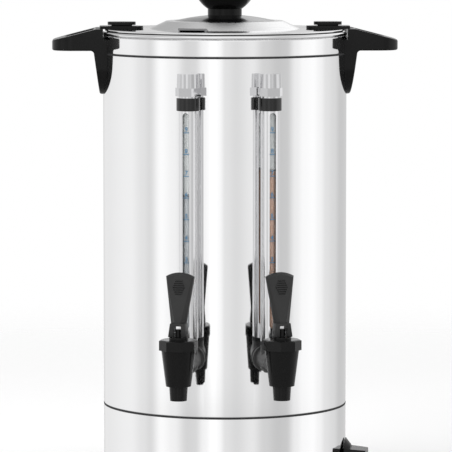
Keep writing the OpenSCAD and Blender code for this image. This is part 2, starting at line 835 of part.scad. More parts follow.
// Forked lever: two cheeks astride the stem, a bevelled paddle and a ribbed thumb rest
module tap_lever(side) {
    face = 3.2;
    face_inset = 3;
    face_low_w = waist_w * 0.4;
    rib_pitch = 2;
    rib_h = 0.8;
    rib_out = 0.4;
    rib_w = 10;
    rib_half = rib_w / 2;
    thumb_drop = 15;
    thumb_z = bonnet_top + lever_h - thumb_drop;
    lever_low = bonnet_top + collar_ring_t + slip;
    color("#2c2c2e") at_tap(side) translate([0, -tap_r, 0]) difference() {
        union() {
            translate([0, lever_foot_half, 0]) rotate([90, 0, 0]) linear_extrude(2 * lever_foot_half)
                polygon([[-lever_foot_w / 2, lever_low], [lever_foot_w / 2, lever_low],
                    [waist_w / 2, waist_z], [-waist_w / 2, waist_z]]);
            translate([0, 0, waist_z]) rotate([-lever_lean, 0, 0]) translate([0, 0, -waist_z]) {
                hull() {
                    translate([0, paddle_t / 2, 0]) rotate([90, 0, 0]) linear_extrude(paddle_t - face)
                        paddle_outline(paddle_w, waist_w, 0);
                    translate([0, paddle_t / 2 - paddle_t + face, 0]) rotate([90, 0, 0]) linear_extrude(face)
                        paddle_outline(paddle_w - face_inset, face_low_w, face_inset);
                }
                for (i = [-2:2])
                    translate([abs(i) - rib_half, -paddle_t / 2 - rib_out, thumb_z + i * rib_pitch])
                        cube([rib_w - 2 * abs(i), 2 * rib_out, rib_h]);
            }
        }
        translate([-lever_slot_w / 2, -cut / 2, bonnet_top - eps])
            cube([lever_slot_w, cut, lever_slot_h + eps]);
        translate([-lever_foot_w, 0, pin_z]) rotate([0, 90, 0])
            cylinder(d = pin_d + run_gap, h = 2 * lever_foot_w);
    }
}

module lever_pin(side) {
    pin_proud = 0.7;
    pin_l = waist_w + 2 * pin_proud;
    color("silver") at_tap(side) translate([-pin_l / 2, -tap_r, pin_z]) rotate([0, 90, 0])
        cylinder(d = pin_d, h = pin_l);
}

module gauge_glass(side) {
    color("lightblue", 0.5) at_tap(side) translate([0, -gauge_r, glass_z])
        ring(glass_r, glass_r - glass_t, glass_top - glass_z);
}

// Steel tube with a round-ended window through its front and back
module gauge_shield(side) {
    shield_r = shield_d / 2;
    low_margin = 14;
    high_margin = 2;
    window_low = shield_z + low_margin;
    window_high = shield_top - high_margin;
    color("gainsboro") at_tap(side) translate([0, -gauge_r, 0]) difference() {
        translate([0, 0, shield_z]) ring(shield_r, shield_r - shield_t, shield_h);
        translate([-window_w / 2, -shield_d, window_low + window_w / 2])
            cube([window_w, 2 * shield_d, window_high - window_low - window_w]);
        for (z = [window_low + window_w / 2, window_high - window_w / 2])
            translate([0, shield_d, z]) rotate([90, 0, 0]) cylinder(d = window_w, h = 2 * shield_d);
    }
}

module gauge_seal(side) {
    lip = 0.4;
    color("#1f1f21") at_tap(side) translate([0, -gauge_r, boss_top])
        ring(shield_d / 2 + lip, glass_socket, lower_seal_h);
}

// Black nut that centres glass and shield, with an inner shoulder on the shield's end
module gauge_nut(side) {
    color("#242426") at_tap(side) translate([0, -gauge_r, shield_top]) difference() {
        cylinder(d = nut_d, h = nut_h);
        translate([0, 0, -eps]) cylinder(r = glass_socket, h = nut_h + 2 * eps);
    }
}

// Chrome cap: collar ring, hexagon and tapered round head over the end of the glass
module gauge_cap(side) {
    head_z = collar_ring_h + hex_h;
    head_foot_d = hex_d - 3.6;
    head_top_d = hex_d - 4.6;
    color("gainsboro") at_tap(side) translate([0, -gauge_r, nut_top]) difference() {
        union() {
            cylinder(d = shield_d, h = collar_ring_h + eps);
            translate([0, 0, collar_ring_h]) cylinder(d = hex_d, h = hex_h, $fn = 6);
            translate([0, 0, head_z - eps]) cylinder(d1 = head_foot_d, d2 = head_top_d, h = cap_h + eps);
        }
        translate([0, 0, -eps]) cylinder(r = glass_socket, h = glass_top - nut_top + seat_gap + eps);
    }
}

lid_cone_r = cone_d / 2;
lid_cone_top_r = cone_top_d / 2;
dome_r = dome_d / 2;
dome_curve = (dome_r * dome_r + dome_h * dome_h) / (2 * dome_h);
dome_centre = dome_top_z - dome_curve;
neck_foot_z = dome_centre + sqrt(pow(dome_curve, 2) - pow(knob_neck_d / 2, 2));
knob_screw_r = 3;
knob_screw_l = 16;
rivet_r = 2;
rivet_mid_r = (ear_in_r + lid_skirt_r - lid_t) / 2;
rivet_half = 5;
rivet_radii = [rivet_mid_r - rivet_half, rivet_mid_r + rivet_half];
rivet_cover = 1;
louvre_margin = 13;
louvre_r = lid_cone_r + louvre_margin;
louvre_half = 9;

module lid_seal() {
    color("#8a8a8c") placed() translate([0, 0, seal_bottom]) ring(seal_out_r, seal_in_r, seal_h);
}

// Spun section of the lid: turned-down edge, flat rim, cone, flat step, dome and locating skirt
module lid_profile() {
    translate([lid_cone_r - eps, lid_under]) square([lid_r - lid_cone_r + eps, lid_t]);
    translate([lid_r - lid_t, bead_top + slip]) square([lid_t, lid_top - bead_top - slip]);
    polygon([[lid_cone_r, lid_under], [lid_cone_r, lid_top], [lid_cone_top_r, cone_top_z],
        [lid_cone_top_r - eps, cone_top_z - lid_t], [lid_cone_r - lid_t, lid_under]]);
    translate([dome_r - eps, cone_top_z - lid_t]) square([lid_cone_top_r - dome_r + eps, lid_t]);
    intersection() {
        translate([0, dome_centre]) difference() {
            circle(dome_curve);
            circle(dome_curve - lid_t);
        }
        translate([0, cone_top_z - lid_t]) square([dome_r, dome_h + 2 * lid_t]);
    }
    translate([lid_skirt_r - lid_t, lid_under - lid_skirt_h]) square([lid_t, lid_skirt_h + lid_t / 2]);
}

// Raised scoop over the vent slot, with a lip that leaves a slit open towards the rim
module louvre() {
    rise = 3.6;
    depth = 6;
    lip_t = 1;
    slit_h = 1.2;
    rotate([0, 0, louvre_az - 90 - louvre_half]) {
        rotate_extrude(angle = 2 * louvre_half) polygon([
            [louvre_r - depth, lid_top - lid_t / 2], [louvre_r - depth + 2, lid_top - lid_t / 2],
            [louvre_r, lid_top + rise - 1.6], [louvre_r + depth - lip_t, lid_top + rise - 1],
            [louvre_r + depth - lip_t, lid_top + slit_h], [louvre_r + depth, lid_top + slit_h],
            [louvre_r + depth, lid_top + rise], [louvre_r, lid_top + rise - 0.4]]);
        for (a = [0.4, 2 * louvre_half - 1.2]) rotate([0, 0, a]) rotate_extrude(angle = 0.8) polygon([
            [louvre_r - depth + 1, lid_top - lid_t / 2], [louvre_r + depth - 0.6, lid_top - lid_t / 2],
            [louvre_r + depth - 0.6, lid_top + rise - 0.5], [louvre_r, lid_top + rise - 0.9]]);
    }
}

module lid_shell() {
    slot_in = 3;
    slot_out = 5;
    slot_half = louvre_half - 1.5;
    color("gainsboro") placed() {
        difference() {
            rotate_extrude() lid_profile();
            cylinder(r = knob_screw_r + slip, h = dome_top_z + eps);
            for (a = [0, 180], r = rivet_radii) rotate([0, 0, a]) translate([r, 0, 0])
                cylinder(r = rivet_r + seat_gap, h = lid_top + eps);
            rotate([0, 0, -90])
                sector(louvre_r - slot_in, louvre_r + slot_out, lid_under - eps, lid_top + eps,
                    louvre_az - slot_half, louvre_az + slot_half);
        }
        louvre();
    }
}

// Ball knob: a neck on the dome, a round underside and a flatter crown
module lid_knob() {
    neck_top = neck_foot_z + knob_neck_h;
    neck_sink = 4;
    screw_spare = 2;
    under_centre = neck_top + sqrt(pow(knob_under_r, 2) - pow(knob_neck_d / 2, 2));
    crown_centre = neck_top + knob_h - knob_crown_r;
    color("#101012") placed() difference() {
        rotate_extrude() {
            translate([0, neck_foot_z]) square([knob_neck_d / 2, knob_neck_h + neck_sink]);
            intersection() {
                translate([0, under_centre]) circle(knob_under_r);
                translate([0, crown_centre]) circle(knob_crown_r);
                translate([0, neck_top - eps]) square([knob_d / 2, knob_h + 2 * eps]);
            }
        }
        translate([0, 0, dome_centre]) sphere(dome_curve + seat_gap);
        translate([0, 0, dome_top_z - eps])
            cylinder(r = knob_screw_r + seat_gap, h = knob_screw_l + screw_spare + eps);
    }
}

module knob_screw() {
    head_t = 3;
    head_top = dome_top_z - lid_t - 2 * seat_gap;
    color("gainsboro") placed() {
        translate([0, 0, head_top - head_t]) cylinder(r = 2 * knob_screw_r, h = head_t);
        translate([0, 0, head_top - eps]) cylinder(r = knob_screw_r, h = knob_screw_l);
    }
}

// Lid ear: a plate on the rim, a finger pad on it, and a tab with the lug that locks in the handle
module lid_ear() {
    tip_r = 12;
    ear_out_r = lug_in_r + tab_t;
    pad_in = ear_in_r + 8;
    pad_out = lid_r - 3;
    pad_r = tip_r - 2;
    step = 1;
    pad_t = 3.4;
    tab_half = 6;
    difference() {
        union() {
            translate([0, 0, lid_top]) linear_extrude(ear_t) intersection() {
                union() {
                    translate([ear_in_r + tip_r, 0]) circle(tip_r);
                    polygon([[ear_in_r + tip_r, -tip_r], [ear_out_r + 5, -ear_w / 2],
                        [ear_out_r + 5, ear_w / 2], [ear_in_r + tip_r, tip_r]]);
                }
                circle(ear_out_r);
            }
            translate([0, 0, lid_top + ear_t - eps]) linear_extrude(step + 2 * eps)
                translate([pad_in + 4, -tip_r / 2]) square([pad_out - pad_in - 8, tip_r]);
            translate([0, 0, lid_top + ear_t + step]) linear_extrude(pad_t) intersection() {
                union() {
                    for (r = [pad_in + pad_r, pad_out - pad_r]) translate([r, 0]) circle(pad_r);
                    translate([pad_in + pad_r, -pad_r]) square([pad_out - pad_in - 2 * pad_r, 2 * pad_r]);
                }
                circle(lid_r);
            }
            sector(lug_in_r, ear_out_r, lug_z, lid_top + ear_t, -tab_half, tab_half);
            sector(ear_out_r - eps, lug_out_r, lug_z, lug_z + lug_h, -lug_half, lug_half);
        }
        for (r = rivet_radii) translate([r, 0, lid_under])
            cylinder(r = rivet_r + seat_gap, h = lid_t + ear_t - rivet_cover + 2 * seat_gap);
    }
}

module lid_ear_left() {
    color("#1e1e20") placed() rotate([0, 0, 180]) lid_ear();
}

module lid_ear_right() {
    color("#1e1e20") placed() lid_ear();
}

module ear_rivets() {
    head_t = 1.5;
    color("gainsboro") placed() for (a = [0, 180], r = rivet_radii) rotate([0, 0, a]) translate([r, 0, 0]) {
        translate([0, 0, lid_under - head_t]) cylinder(r = 1.8 * rivet_r, h = head_t);
        translate([0, 0, lid_under - eps]) cylinder(r = rivet_r, h = lid_t + ear_t - rivet_cover);
    }
}

bottom_plate();
rubber_feet();
foot_screws();
base_shell();
outer_shell();
top_collar();
inner_tank();
tank_divider();
heater_plate();
heating_element();
thermostat_body();
thermal_cutout();
terminal_block();
cable_gland();
thermostat_spindle();
control_knob();
handle_left();
handle_right();
handle_screws();
tap_shank(-1);  // tap_shank_left
tap_shank(1);  // tap_shank_right
shank_washer(-1);  // shank_washer_left
shank_washer(1);  // shank_washer_right
shank_nut(-1);  // shank_nut_left
shank_nut(1);  // shank_nut_right
tap_body(-1);  // tap_body_left
tap_body(1);  // tap_body_right
tap_bonnet(-1);  // tap_bonnet_left
tap_bonnet(1);  // tap_bonnet_right
valve_stem(-1);  // valve_stem_left
valve_stem(1);  // valve_stem_right
seat_cup(-1);  // seat_cup_left
seat_cup(1);  // seat_cup_right
stem_spring(-1);  // stem_spring_left
stem_spring(1);  // stem_spring_right
tap_lever(-1);  // tap_lever_left
tap_lever(1);  // tap_lever_right
lever_pin(-1);  // lever_pin_left
lever_pin(1);  // lever_pin_right
gauge_glass(-1);  // gauge_glass_left
gauge_glass(1);  // gauge_glass_right
gauge_shield(-1);  // gauge_shield_left
gauge_shield(1);  // gauge_shield_right
gauge_seal(-1);  // gauge_seal_left
gauge_seal(1);  // gauge_seal_right
gauge_nut(-1);  // gauge_nut_left
gauge_nut(1);  // gauge_nut_right
gauge_cap(-1);  // gauge_cap_left
gauge_cap(1);  // gauge_cap_right
lid_seal();
lid_shell();
lid_knob();
knob_screw();
lid_ear_left();
lid_ear_right();
ear_rivets();
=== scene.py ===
import math

import bmesh
import bpy
from mathutils import Matrix, Vector


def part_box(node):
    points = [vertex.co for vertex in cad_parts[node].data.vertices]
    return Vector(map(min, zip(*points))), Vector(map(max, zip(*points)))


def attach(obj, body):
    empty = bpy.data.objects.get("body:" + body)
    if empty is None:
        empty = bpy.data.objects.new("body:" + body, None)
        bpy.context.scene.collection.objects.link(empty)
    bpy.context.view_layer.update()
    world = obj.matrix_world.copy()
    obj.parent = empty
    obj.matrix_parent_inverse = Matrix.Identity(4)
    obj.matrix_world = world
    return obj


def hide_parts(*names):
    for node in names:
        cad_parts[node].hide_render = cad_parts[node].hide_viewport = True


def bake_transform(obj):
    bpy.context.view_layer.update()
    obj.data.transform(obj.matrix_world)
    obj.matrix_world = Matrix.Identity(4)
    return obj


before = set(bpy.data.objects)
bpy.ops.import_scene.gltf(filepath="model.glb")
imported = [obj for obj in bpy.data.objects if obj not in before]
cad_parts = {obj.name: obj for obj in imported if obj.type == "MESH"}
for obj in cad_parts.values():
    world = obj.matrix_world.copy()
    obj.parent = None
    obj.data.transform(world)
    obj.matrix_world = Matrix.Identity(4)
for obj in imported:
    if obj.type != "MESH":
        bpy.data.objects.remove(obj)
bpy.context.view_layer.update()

# The studio: a camera a little left of the urn's front and above it, looking slightly down.
# The world is a bright tent with soft grey strips between its panels, which polished steel shows as
# upright bands. It stays in place when the camera goes round the urn.
shell_low, shell_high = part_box("outer_shell")
axis_x = (shell_low.x + shell_high.x) / 2
axis_y = (shell_low.y + shell_high.y) / 2
shell_r = (shell_high.x - shell_low.x) / 2

camera_turn = math.radians(-1.8)
camera_pitch = math.radians(5.30)
camera_distance = 3.845
camera_height = 0.6459
camera_slip = 0.0013
image_px = 452
focal_px = 3599.5
sensor_mm = 36.0

ahead = Vector((-math.sin(camera_turn), math.cos(camera_turn), 0))
aside = Vector((ahead.y, -ahead.x, 0))
lens = bpy.data.cameras.new("camera")
lens.sensor_width = sensor_mm
lens.lens = sensor_mm * focal_px / image_px
camera = bpy.data.objects.new("camera", lens)
bpy.context.scene.collection.objects.link(camera)
camera_foot = Vector((axis_x, axis_y, camera_height))
camera.location = camera_foot - ahead * camera_distance + aside * camera_slip
look = ahead * math.cos(camera_pitch) - Vector((0, 0, math.sin(camera_pitch)))
camera.rotation_mode = "QUATERNION"
camera.rotation_quaternion = look.to_track_quat("-Z", "Y")
bpy.context.scene.camera = camera
bpy.context.scene.view_settings.view_transform = "Standard"


def link_nodes(tree, *pairs):
    for source, target in pairs:
        tree.links.new(source, target)


def map_range(tree, value, low, high, to_low=0, to_high=1, kind="LINEAR"):
    """Carries a value from one range over to another."""
    levels = tree.nodes.new("ShaderNodeMapRange")
    levels.interpolation_type = kind
    ends = {"From Min": low, "From Max": high, "To Min": to_low, "To Max": to_high}
    for socket, level in ends.items():
        levels.inputs[socket].default_value = level
    link_nodes(tree, (value, levels.inputs["Value"]))
    return levels.outputs[0]


def bearing_ramp(tree, share, stops):
    """Light by bearing: each stop is a bearing from the front in degrees and the light seen there."""
    ramp = tree.nodes.new("ShaderNodeValToRGB")
    ramp.color_ramp.interpolation = "EASE"
    while len(ramp.color_ramp.elements) < len(stops):
        ramp.color_ramp.elements.new(0.5)
    for stop, (degrees, light) in zip(ramp.color_ramp.elements, stops):
        stop.position = (degrees + 180) / 360
        stop.color = (light, light, light, 1)
    link_nodes(tree, (share, ramp.inputs[0]))
    return ramp.outputs[0]


def blend_by_height(tree, height, start, end, below, above):
    """Passes from one light to another between two heights of the sight line, from -1 to 1."""
    mix = tree.nodes.new("ShaderNodeMixRGB")
    link_nodes(tree, (map_range(tree, height, start, end, kind="SMOOTHSTEP"), mix.inputs[0]))
    for light, socket in ((below, mix.inputs[1]), (above, mix.inputs[2])):
        if isinstance(light, float):
            socket.default_value = (light, light, light, 1)
        else:
            link_nodes(tree, (light, socket))
    return mix.outputs[0]


def studio_world():
    """Tent with upright strips level with the urn, a bright panel above the front, and a dim ground."""
    strips = [
        (-180, 0.60), (-155, 0.78), (-102, 0.86), (-85, 0.76), (-77, 0.70), (-64, 0.97), (-51, 0.88),
        (-37, 0.66), (-30, 0.68), (-21, 0.90), (-12, 1.06), (-7, 0.96), (-1, 0.76), (9, 0.70), (24, 0.80),
        (36, 0.64), (50, 0.56), (58, 0.58), (69, 0.84), (78, 0.95), (90, 0.985), (100, 0.90), (110, 0.76),
        (124, 0.69), (140, 0.56), (180, 0.60),
    ]
    panels = [
        (-180, 0.62), (-177, 0.42), (-166, 0.42), (-125, 0.48), (-75, 0.50), (-52, 0.60), (-36, 1.00),
        (36, 1.00), (52, 0.60), (75, 0.56), (125, 0.84), (172, 1.00), (180, 0.62),
    ]
    ground_light = 0.42
    roof_light = 0.60
    tent_strength = 1.12
    ground_end, strips_start = -0.36, -0.19
    strips_end, panels_start = 0.10, 0.24
    panels_end, roof_start = 0.55, 0.75
    world = bpy.data.worlds.new("studio_tent")
    bpy.context.scene.world = world
    world.use_nodes = True
    tree = world.node_tree
    tree.nodes.clear()
    out = tree.nodes.new("ShaderNodeOutputWorld")
    place = tree.nodes.new("ShaderNodeTexCoord")
    split = tree.nodes.new("ShaderNodeSeparateXYZ")
    front = tree.nodes.new("ShaderNodeMath")
    front.operation = "MULTIPLY"
    front.inputs[1].default_value = -1
    bearing = tree.nodes.new("ShaderNodeMath")
    bearing.operation = "ARCTAN2"
    share = map_range(tree, bearing.outputs[0], -math.pi, math.pi)
    height = split.outputs["Z"]
    strip_light = bearing_ramp(tree, share, strips)
    panel_light = bearing_ramp(tree, share, panels)
    wall = blend_by_height(tree, height, strips_end, panels_start, strip_light, panel_light)
    wall = blend_by_height(tree, height, panels_end, roof_start, wall, roof_light)
    wall = blend_by_height(tree, height, ground_end, strips_start, ground_light, wall)
    tent = tree.nodes.new("ShaderNodeBackground")
    tent.inputs["Strength"].default_value = tent_strength
    plain = tree.nodes.new("ShaderNodeBackground")
    plain.inputs["Color"].default_value = (1, 1, 1, 1)
    ray = tree.nodes.new("ShaderNodeLightPath")
    pick = tree.nodes.new("ShaderNodeMixShader")
    link_nodes(
        tree,
        (place.outputs["Generated"], split.inputs[0]),
        (split.outputs["Y"], front.inputs[0]),
        (split.outputs["X"], bearing.inputs[0]),
        (front.outputs[0], bearing.inputs[1]),
        (wall, tent.inputs["Color"]),
        (ray.outputs["Is Camera Ray"], pick.inputs[0]),
        (tent.outputs[0], pick.inputs[1]),
        (plain.outputs[0], pick.inputs[2]),
        (pick.outputs[0], out.inputs[0]),
    )


studio_world()


def shade_smooth(mesh, sharp_degrees=None):
    """Shades a mesh smooth, except along edges sharper than the angle where one is given."""
    mesh.polygons.foreach_set("use_smooth", [True] * len(mesh.polygons))
    if sharp_degrees:
        mesh.set_sharp_from_angle(angle=math.radians(sharp_degrees))


def add_piece(name, mesh, sharp_degrees):
    """New object in the scene, smooth except along edges sharper than the angle."""
    piece = bpy.data.objects.new(name, mesh)
    bpy.context.scene.collection.objects.link(piece)
    shade_smooth(mesh, sharp_degrees)
    return piece


def piece_from(shape, name, sharp_degrees=35):
    """New object from a finished shape, which is then cleared away."""
    mesh = bpy.data.meshes.new(name)
    shape.to_mesh(mesh)
    shape.free()
    return add_piece(name, mesh, sharp_degrees)


def studio_floor():
    """Matt pale floor that takes the shadow, and lets polished metal look past it into the tent."""
    floor_r = 1.9
    clear_r = 0.7
    floor_drop = 0.0005
    paper_grey = 0.93
    shape = bmesh.new()
    bmesh.ops.create_circle(shape, cap_ends=True, segments=96, radius=floor_r)
    shape.transform(Matrix.Translation((axis_x, axis_y, -floor_drop)))
    floor = piece_from(shape, "studio_floor")
    finish = bpy.data.materials.new("floor_paper")
    finish.use_nodes = True
    tree = finish.node_tree
    tree.nodes.clear()
    out = tree.nodes.new("ShaderNodeOutputMaterial")
    matt = tree.nodes.new("ShaderNodeBsdfDiffuse")
    matt.inputs["Color"].default_value = (paper_grey, paper_grey, paper_grey, 1)
    clear = tree.nodes.new("ShaderNodeBsdfTransparent")
    ray = tree.nodes.new("ShaderNodeLightPath")
    place = tree.nodes.new("ShaderNodeTexCoord")
    reach = tree.nodes.new("ShaderNodeVectorMath")
    reach.operation = "LENGTH"
    fade = map_range(tree, reach.outputs["Value"], clear_r, floor_r, kind="SMOOTHSTEP")
    see_past = tree.nodes.new("ShaderNodeMath")
    see_past.operation = "MAXIMUM"
    pick = tree.nodes.new("ShaderNodeMixShader")
    link_nodes(
        tree,
        (place.outputs["Object"], reach.inputs[0]),
        (fade, see_past.inputs[0]),
        (ray.outputs["Is Glossy Ray"], see_past.inputs[1]),
        (see_past.outputs[0], pick.inputs[0]),
        (matt.outputs[0], pick.inputs[1]),
        (clear.outputs[0], pick.inputs[2]),
        (pick.outputs[0], out.inputs[0]),
    )
    floor.data.materials.append(finish)


studio_floor()


def soft_lamp(name, bearing, height, distance, size, watts):
    """Square softbox that faces the middle of the urn from a bearing in degrees."""
    aim_z = 0.3
    panel = bpy.data.lights.new(name, "AREA")
    panel.shape = "SQUARE"
    panel.size = size
    panel.energy = watts
    lamp = bpy.data.objects.new(name, panel)
    bpy.context.scene.collection.objects.link(lamp)
    turn = math.radians(bearing)
    lamp.location = (axis_x + distance * math.sin(turn), axis_y - distance * math.cos(turn), height)
    aim = Vector((axis_x, axis_y, aim_z)) - lamp.location
    lamp.rotation_mode = "QUATERNION"
    lamp.rotation_quaternion = aim.to_track_quat("-Z", "Y")
    lamp.visible_glossy = False


soft_lamp("key_softbox", bearing=-48, height=1.6, distance=2.4, size=1.4, watts=26)
soft_lamp("fill_softbox", bearing=55, height=1.2, distance=2.6, size=1.6, watts=14)
soft_lamp("top_softbox", bearing=0, height=2.8, distance=0.4, size=1.8, watts=22)


# Feet: four black rubber buffers under the bottom plate, each held by a steel screw from below.
# They are moulded with a taper and a rolled lower edge, and have a pocket for the screw's head.
def rounded(corners):
    """Outline from (x, y, radius) corners, with an arc in place of each corner that has a radius."""
    arc_step = math.radians(12)
    fewest_steps = 3
    points = []
    for i, (x, y, radius) in enumerate(corners):
        here = Vector((x, y))
        if not radius:
            points.append((x, y))
            continue
        before = (Vector(corners[i - 1][:2]) - here).normalized()
        after = (Vector(corners[(i + 1) % len(corners)][:2]) - here).normalized()
        half = before.angle(after) / 2
        middle = here + (before + after).normalized() * radius / math.sin(half)
        start = here + before * radius / math.tan(half) - middle
        sweep = start.angle_signed(here + after * radius / math.tan(half) - middle)
        steps = max(fewest_steps, round(abs(sweep) / arc_step))
        for k in range(steps + 1):
            turn = Matrix.Rotation(-sweep * k / steps, 2)
            points.append(tuple(middle + turn @ start))
    return points


def turned(name, outline, centre, steps, sharp_degrees=35):
    """Solid of revolution about an upright axis, from a closed outline of (radius, height) points."""
    weld = 1e-6
    hair = 1e-7
    shape = bmesh.new()
    rings = []
    for k in range(steps):
        turn = 2 * math.pi * k / steps
        x, y = math.cos(turn), math.sin(turn)
        rings.append([shape.verts.new((centre[0] + r * x, centre[1] + r * y, z)) for r, z in outline])
    for k in range(steps):
        here, there = rings[k], rings[(k + 1) % steps]
        for i in range(len(outline)):
            j = (i + 1) % len(outline)
            shape.faces.new((here[i], there[i], there[j], here[j]))
    bmesh.ops.remove_doubles(shape, verts=shape.verts, dist=weld)
    bmesh.ops.dissolve_degenerate(shape, edges=shape.edges, dist=hair)
    bmesh.ops.recalc_face_normals(shape, faces=shape.faces)
    return piece_from(shape, name, sharp_degrees)


def add_grain(tree, place, scale, stretch=(1, 1, 1), detail=3):
    """Noise in metres, its value from 0 to 1; stretch sets how fast it changes along each axis."""
    spread = tree.nodes.new("ShaderNodeMapping")
    spread.inputs["Scale"].default_value = stretch
    noise = tree.nodes.new("ShaderNodeTexNoise")
    noise.inputs["Scale"].default_value = scale
    noise.inputs["Detail"].default_value = detail
    link_nodes(tree, (place, spread.inputs["Vector"]), (spread.outputs[0], noise.inputs["Vector"]))
    return noise.outputs["Fac"]


def new_finish(name, color, metallic, roughness, dark, light, patches, patch_stretch=(1, 1, 1),
               grain=None, lines=None, smooth=None, rough=None, depth=None, strength=None, sockets=None):
    """Finish whose tint varies in patches, and whose roughness varies with an even grain or with lines.

    Patches and grain are scales of noise, lines a stretch of it along each axis, and depth how far grain
    or lines stand out, in metres. Further sockets of the shader go by their names.
    """
    noise_low, noise_high = 0.3, 0.7
    finish = bpy.data.materials.new(name)
    finish.use_nodes = True
    tree = finish.node_tree
    shader = tree.nodes["Principled BSDF"]
    plain = {"Base Color": (*color, 1), "Metallic": metallic, "Roughness": roughness, **(sockets or {})}
    for socket, value in plain.items():
        shader.inputs[socket].default_value = value
    place = tree.nodes.new("ShaderNodeTexCoord").outputs["Object"]
    tint = tree.nodes.new("ShaderNodeMixRGB")
    tint.inputs[1].default_value = (*dark, 1)
    tint.inputs[2].default_value = (*light, 1)
    share = add_grain(tree, place, patches, patch_stretch)
    link_nodes(tree, (share, tint.inputs[0]), (tint.outputs[0], shader.inputs["Base Color"]))
    if lines:
        fine = add_grain(tree, place, scale=1.0, stretch=lines, detail=2)
    elif grain:
        fine = add_grain(tree, place, grain)
    else:
        return finish
    levels = map_range(tree, fine, noise_low, noise_high, smooth, rough)
    link_nodes(tree, (levels, shader.inputs["Roughness"]))
    if depth:
        bump = tree.nodes.new("ShaderNodeBump")
        bump.inputs["Strength"].default_value = strength
        bump.inputs["Distance"].default_value = depth
        link_nodes(tree, (fine, bump.inputs["Height"]), (bump.outputs[0], shader.inputs["Normal"]))
    return finish


def dress(node, finish):
    """Gives a node of the frame a finish, smooth over its curves."""
    mesh = bpy.data.objects[node].data
    mesh.materials.clear()
    mesh.materials.append(finish)
    shade_smooth(mesh)


def fit(piece, finish, body, node=None):
    """Gives a piece its finish, body and slot, and the place of a node of the frame where it has one."""
    piece.data.materials.append(finish)
    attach(piece, body)
    if node:
        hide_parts(node)


def join_pieces(name, parts):
    """One object from several, keeping their finishes."""
    for other in bpy.context.selected_objects:
        other.select_set(False)
    for part in parts:
        part.select_set(True)
    bpy.context.view_layer.objects.active = parts[0]
    bpy.ops.object.join()
    parts[0].name = name
    return parts[0]


def make_feet():
    low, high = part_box("rubber_feet")
    foot_r = 0.014
    taper = 0.002
    roll = 0.0025
    top_edge = 0.0006
    pocket_r = 0.004
    pocket_edge = 0.0008
    pocket_top = low.z + (high.z - low.z) / 2
    screw_way_r = 0.0021
    spread = (high.x - low.x) / 2 - foot_r
    outline = rounded([
        (pocket_r, low.z, pocket_edge), (foot_r - taper, low.z, roll), (foot_r, high.z, top_edge),
        (screw_way_r, high.z, 0), (screw_way_r, pocket_top, 0), (pocket_r, pocket_top, 0),
    ])
    parts = [turned("foot", outline, (axis_x + x * spread, axis_y + y * spread), steps=64)
             for x in (-1, 1) for y in (-1, 1)]
    feet = join_pieces("rubber_feet_moulded", parts)
    fit(feet, rubber, "root", "rubber_feet")


# Matt black rubber with a fine moulded grain, and bare sheet and screw steel, dull from the mill.
rubber = new_finish(
    "black_rubber", color=(0.018, 0.018, 0.019), metallic=0, roughness=0.78,
    dark=(0.014, 0.014, 0.015), light=(0.026, 0.026, 0.027), patches=90,
    grain=1800, smooth=0.70, rough=0.86, depth=0.00008, strength=0.5,
)
plain_steel = new_finish(
    "plain_steel", color=(0.55, 0.56, 0.57), metallic=1, roughness=0.34,
    dark=(0.48, 0.49, 0.50), light=(0.62, 0.63, 0.64), patches=60,
    grain=700, smooth=0.28, rough=0.44, depth=0.00003, strength=0.3,
)
make_feet()
dress("bottom_plate", plain_steel)
dress("foot_screws", plain_steel)


# Body: base, shell and collar, three rings rolled from polished stainless sheet and seam-welded at the
# back. Their edges turn in where they meet, so each seam is a fine groove, and a black ring laid in it is
# painted shade for its dark line.
sides = ("left", "right")
sheet_t = 0.001
seam_r = 0.0014
flange_w = 0.004
tap_way_r = 0.0093


def bake(piece):
    """Makes a piece's modifiers part of its mesh."""
    view = bpy.context.evaluated_depsgraph_get()
    mesh = bpy.data.meshes.new_from_object(piece.evaluated_get(view))
    old = piece.data
    piece.modifiers.clear()
    piece.data = mesh
    bpy.data.meshes.remove(old)
    mesh.name = piece.name


def cut_out(piece, cutters):
    """Takes solids out of a piece and deletes them."""
    for cutter in cutters:
        cutter.data.polygons.foreach_set("use_smooth", [False] * len(cutter.data.polygons))
        step = piece.modifiers.new("cut", "BOOLEAN")
        step.operation = "DIFFERENCE"
        step.solver = "EXACT"
        step.object = cutter
    bake(piece)
    shade_smooth(piece.data, sharp_degrees=35)
    for cutter in cutters:
        bpy.data.objects.remove(cutter)


def sheet_ring(node, foot_flange):
    """Rolled ring of sheet with an in-turned flange at each end and round seams."""
    low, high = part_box(node)
    r = (high.x - low.x) / 2
    inner_low, inner_high = low.z + sheet_t, high.z - sheet_t
    outline = rounded([
        (r, low.z, seam_r), (r, high.z, seam_r), (r - flange_w, high.z, 0), (r - flange_w, inner_high, 0),
        (r - sheet_t, inner_high, 0), (r - sheet_t, inner_low, 0),
        (r - foot_flange, inner_low, 0), (r - foot_flange, low.z, 0),
    ])
    ring = turned(node + "_rolled", outline, (axis_x, axis_y), steps=256)
    fit(ring, polished_steel, "root", node)
    return ring


def middle_of(node):
    """Bearing of a node's middle from the front, in degrees, and its height."""
    low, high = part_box(node)
    middle = (low + high) / 2
    return math.degrees(math.atan2(middle.x - axis_x, axis_y - middle.y)), middle.z


def way_through(node, way_r, wall_r):
    """Cutter for the round hole that a fitting passes through in a wall about the body's axis."""
    reach = 0.02
    bearing, height = middle_of(node)
    turn = math.radians(bearing)
    out = Vector((math.sin(turn), -math.cos(turn), 0))
    middle = Vector((axis_x, axis_y, height)) + out * wall_r
    shape = bmesh.new()
    bmesh.ops.create_cone(shape, cap_ends=True, segments=48,
                          radius1=way_r, radius2=way_r, depth=2 * reach)
    shape.transform(Matrix.Translation(middle) @ out.to_track_quat("Z", "Y").to_matrix().to_4x4())
    return piece_from(shape, "way")


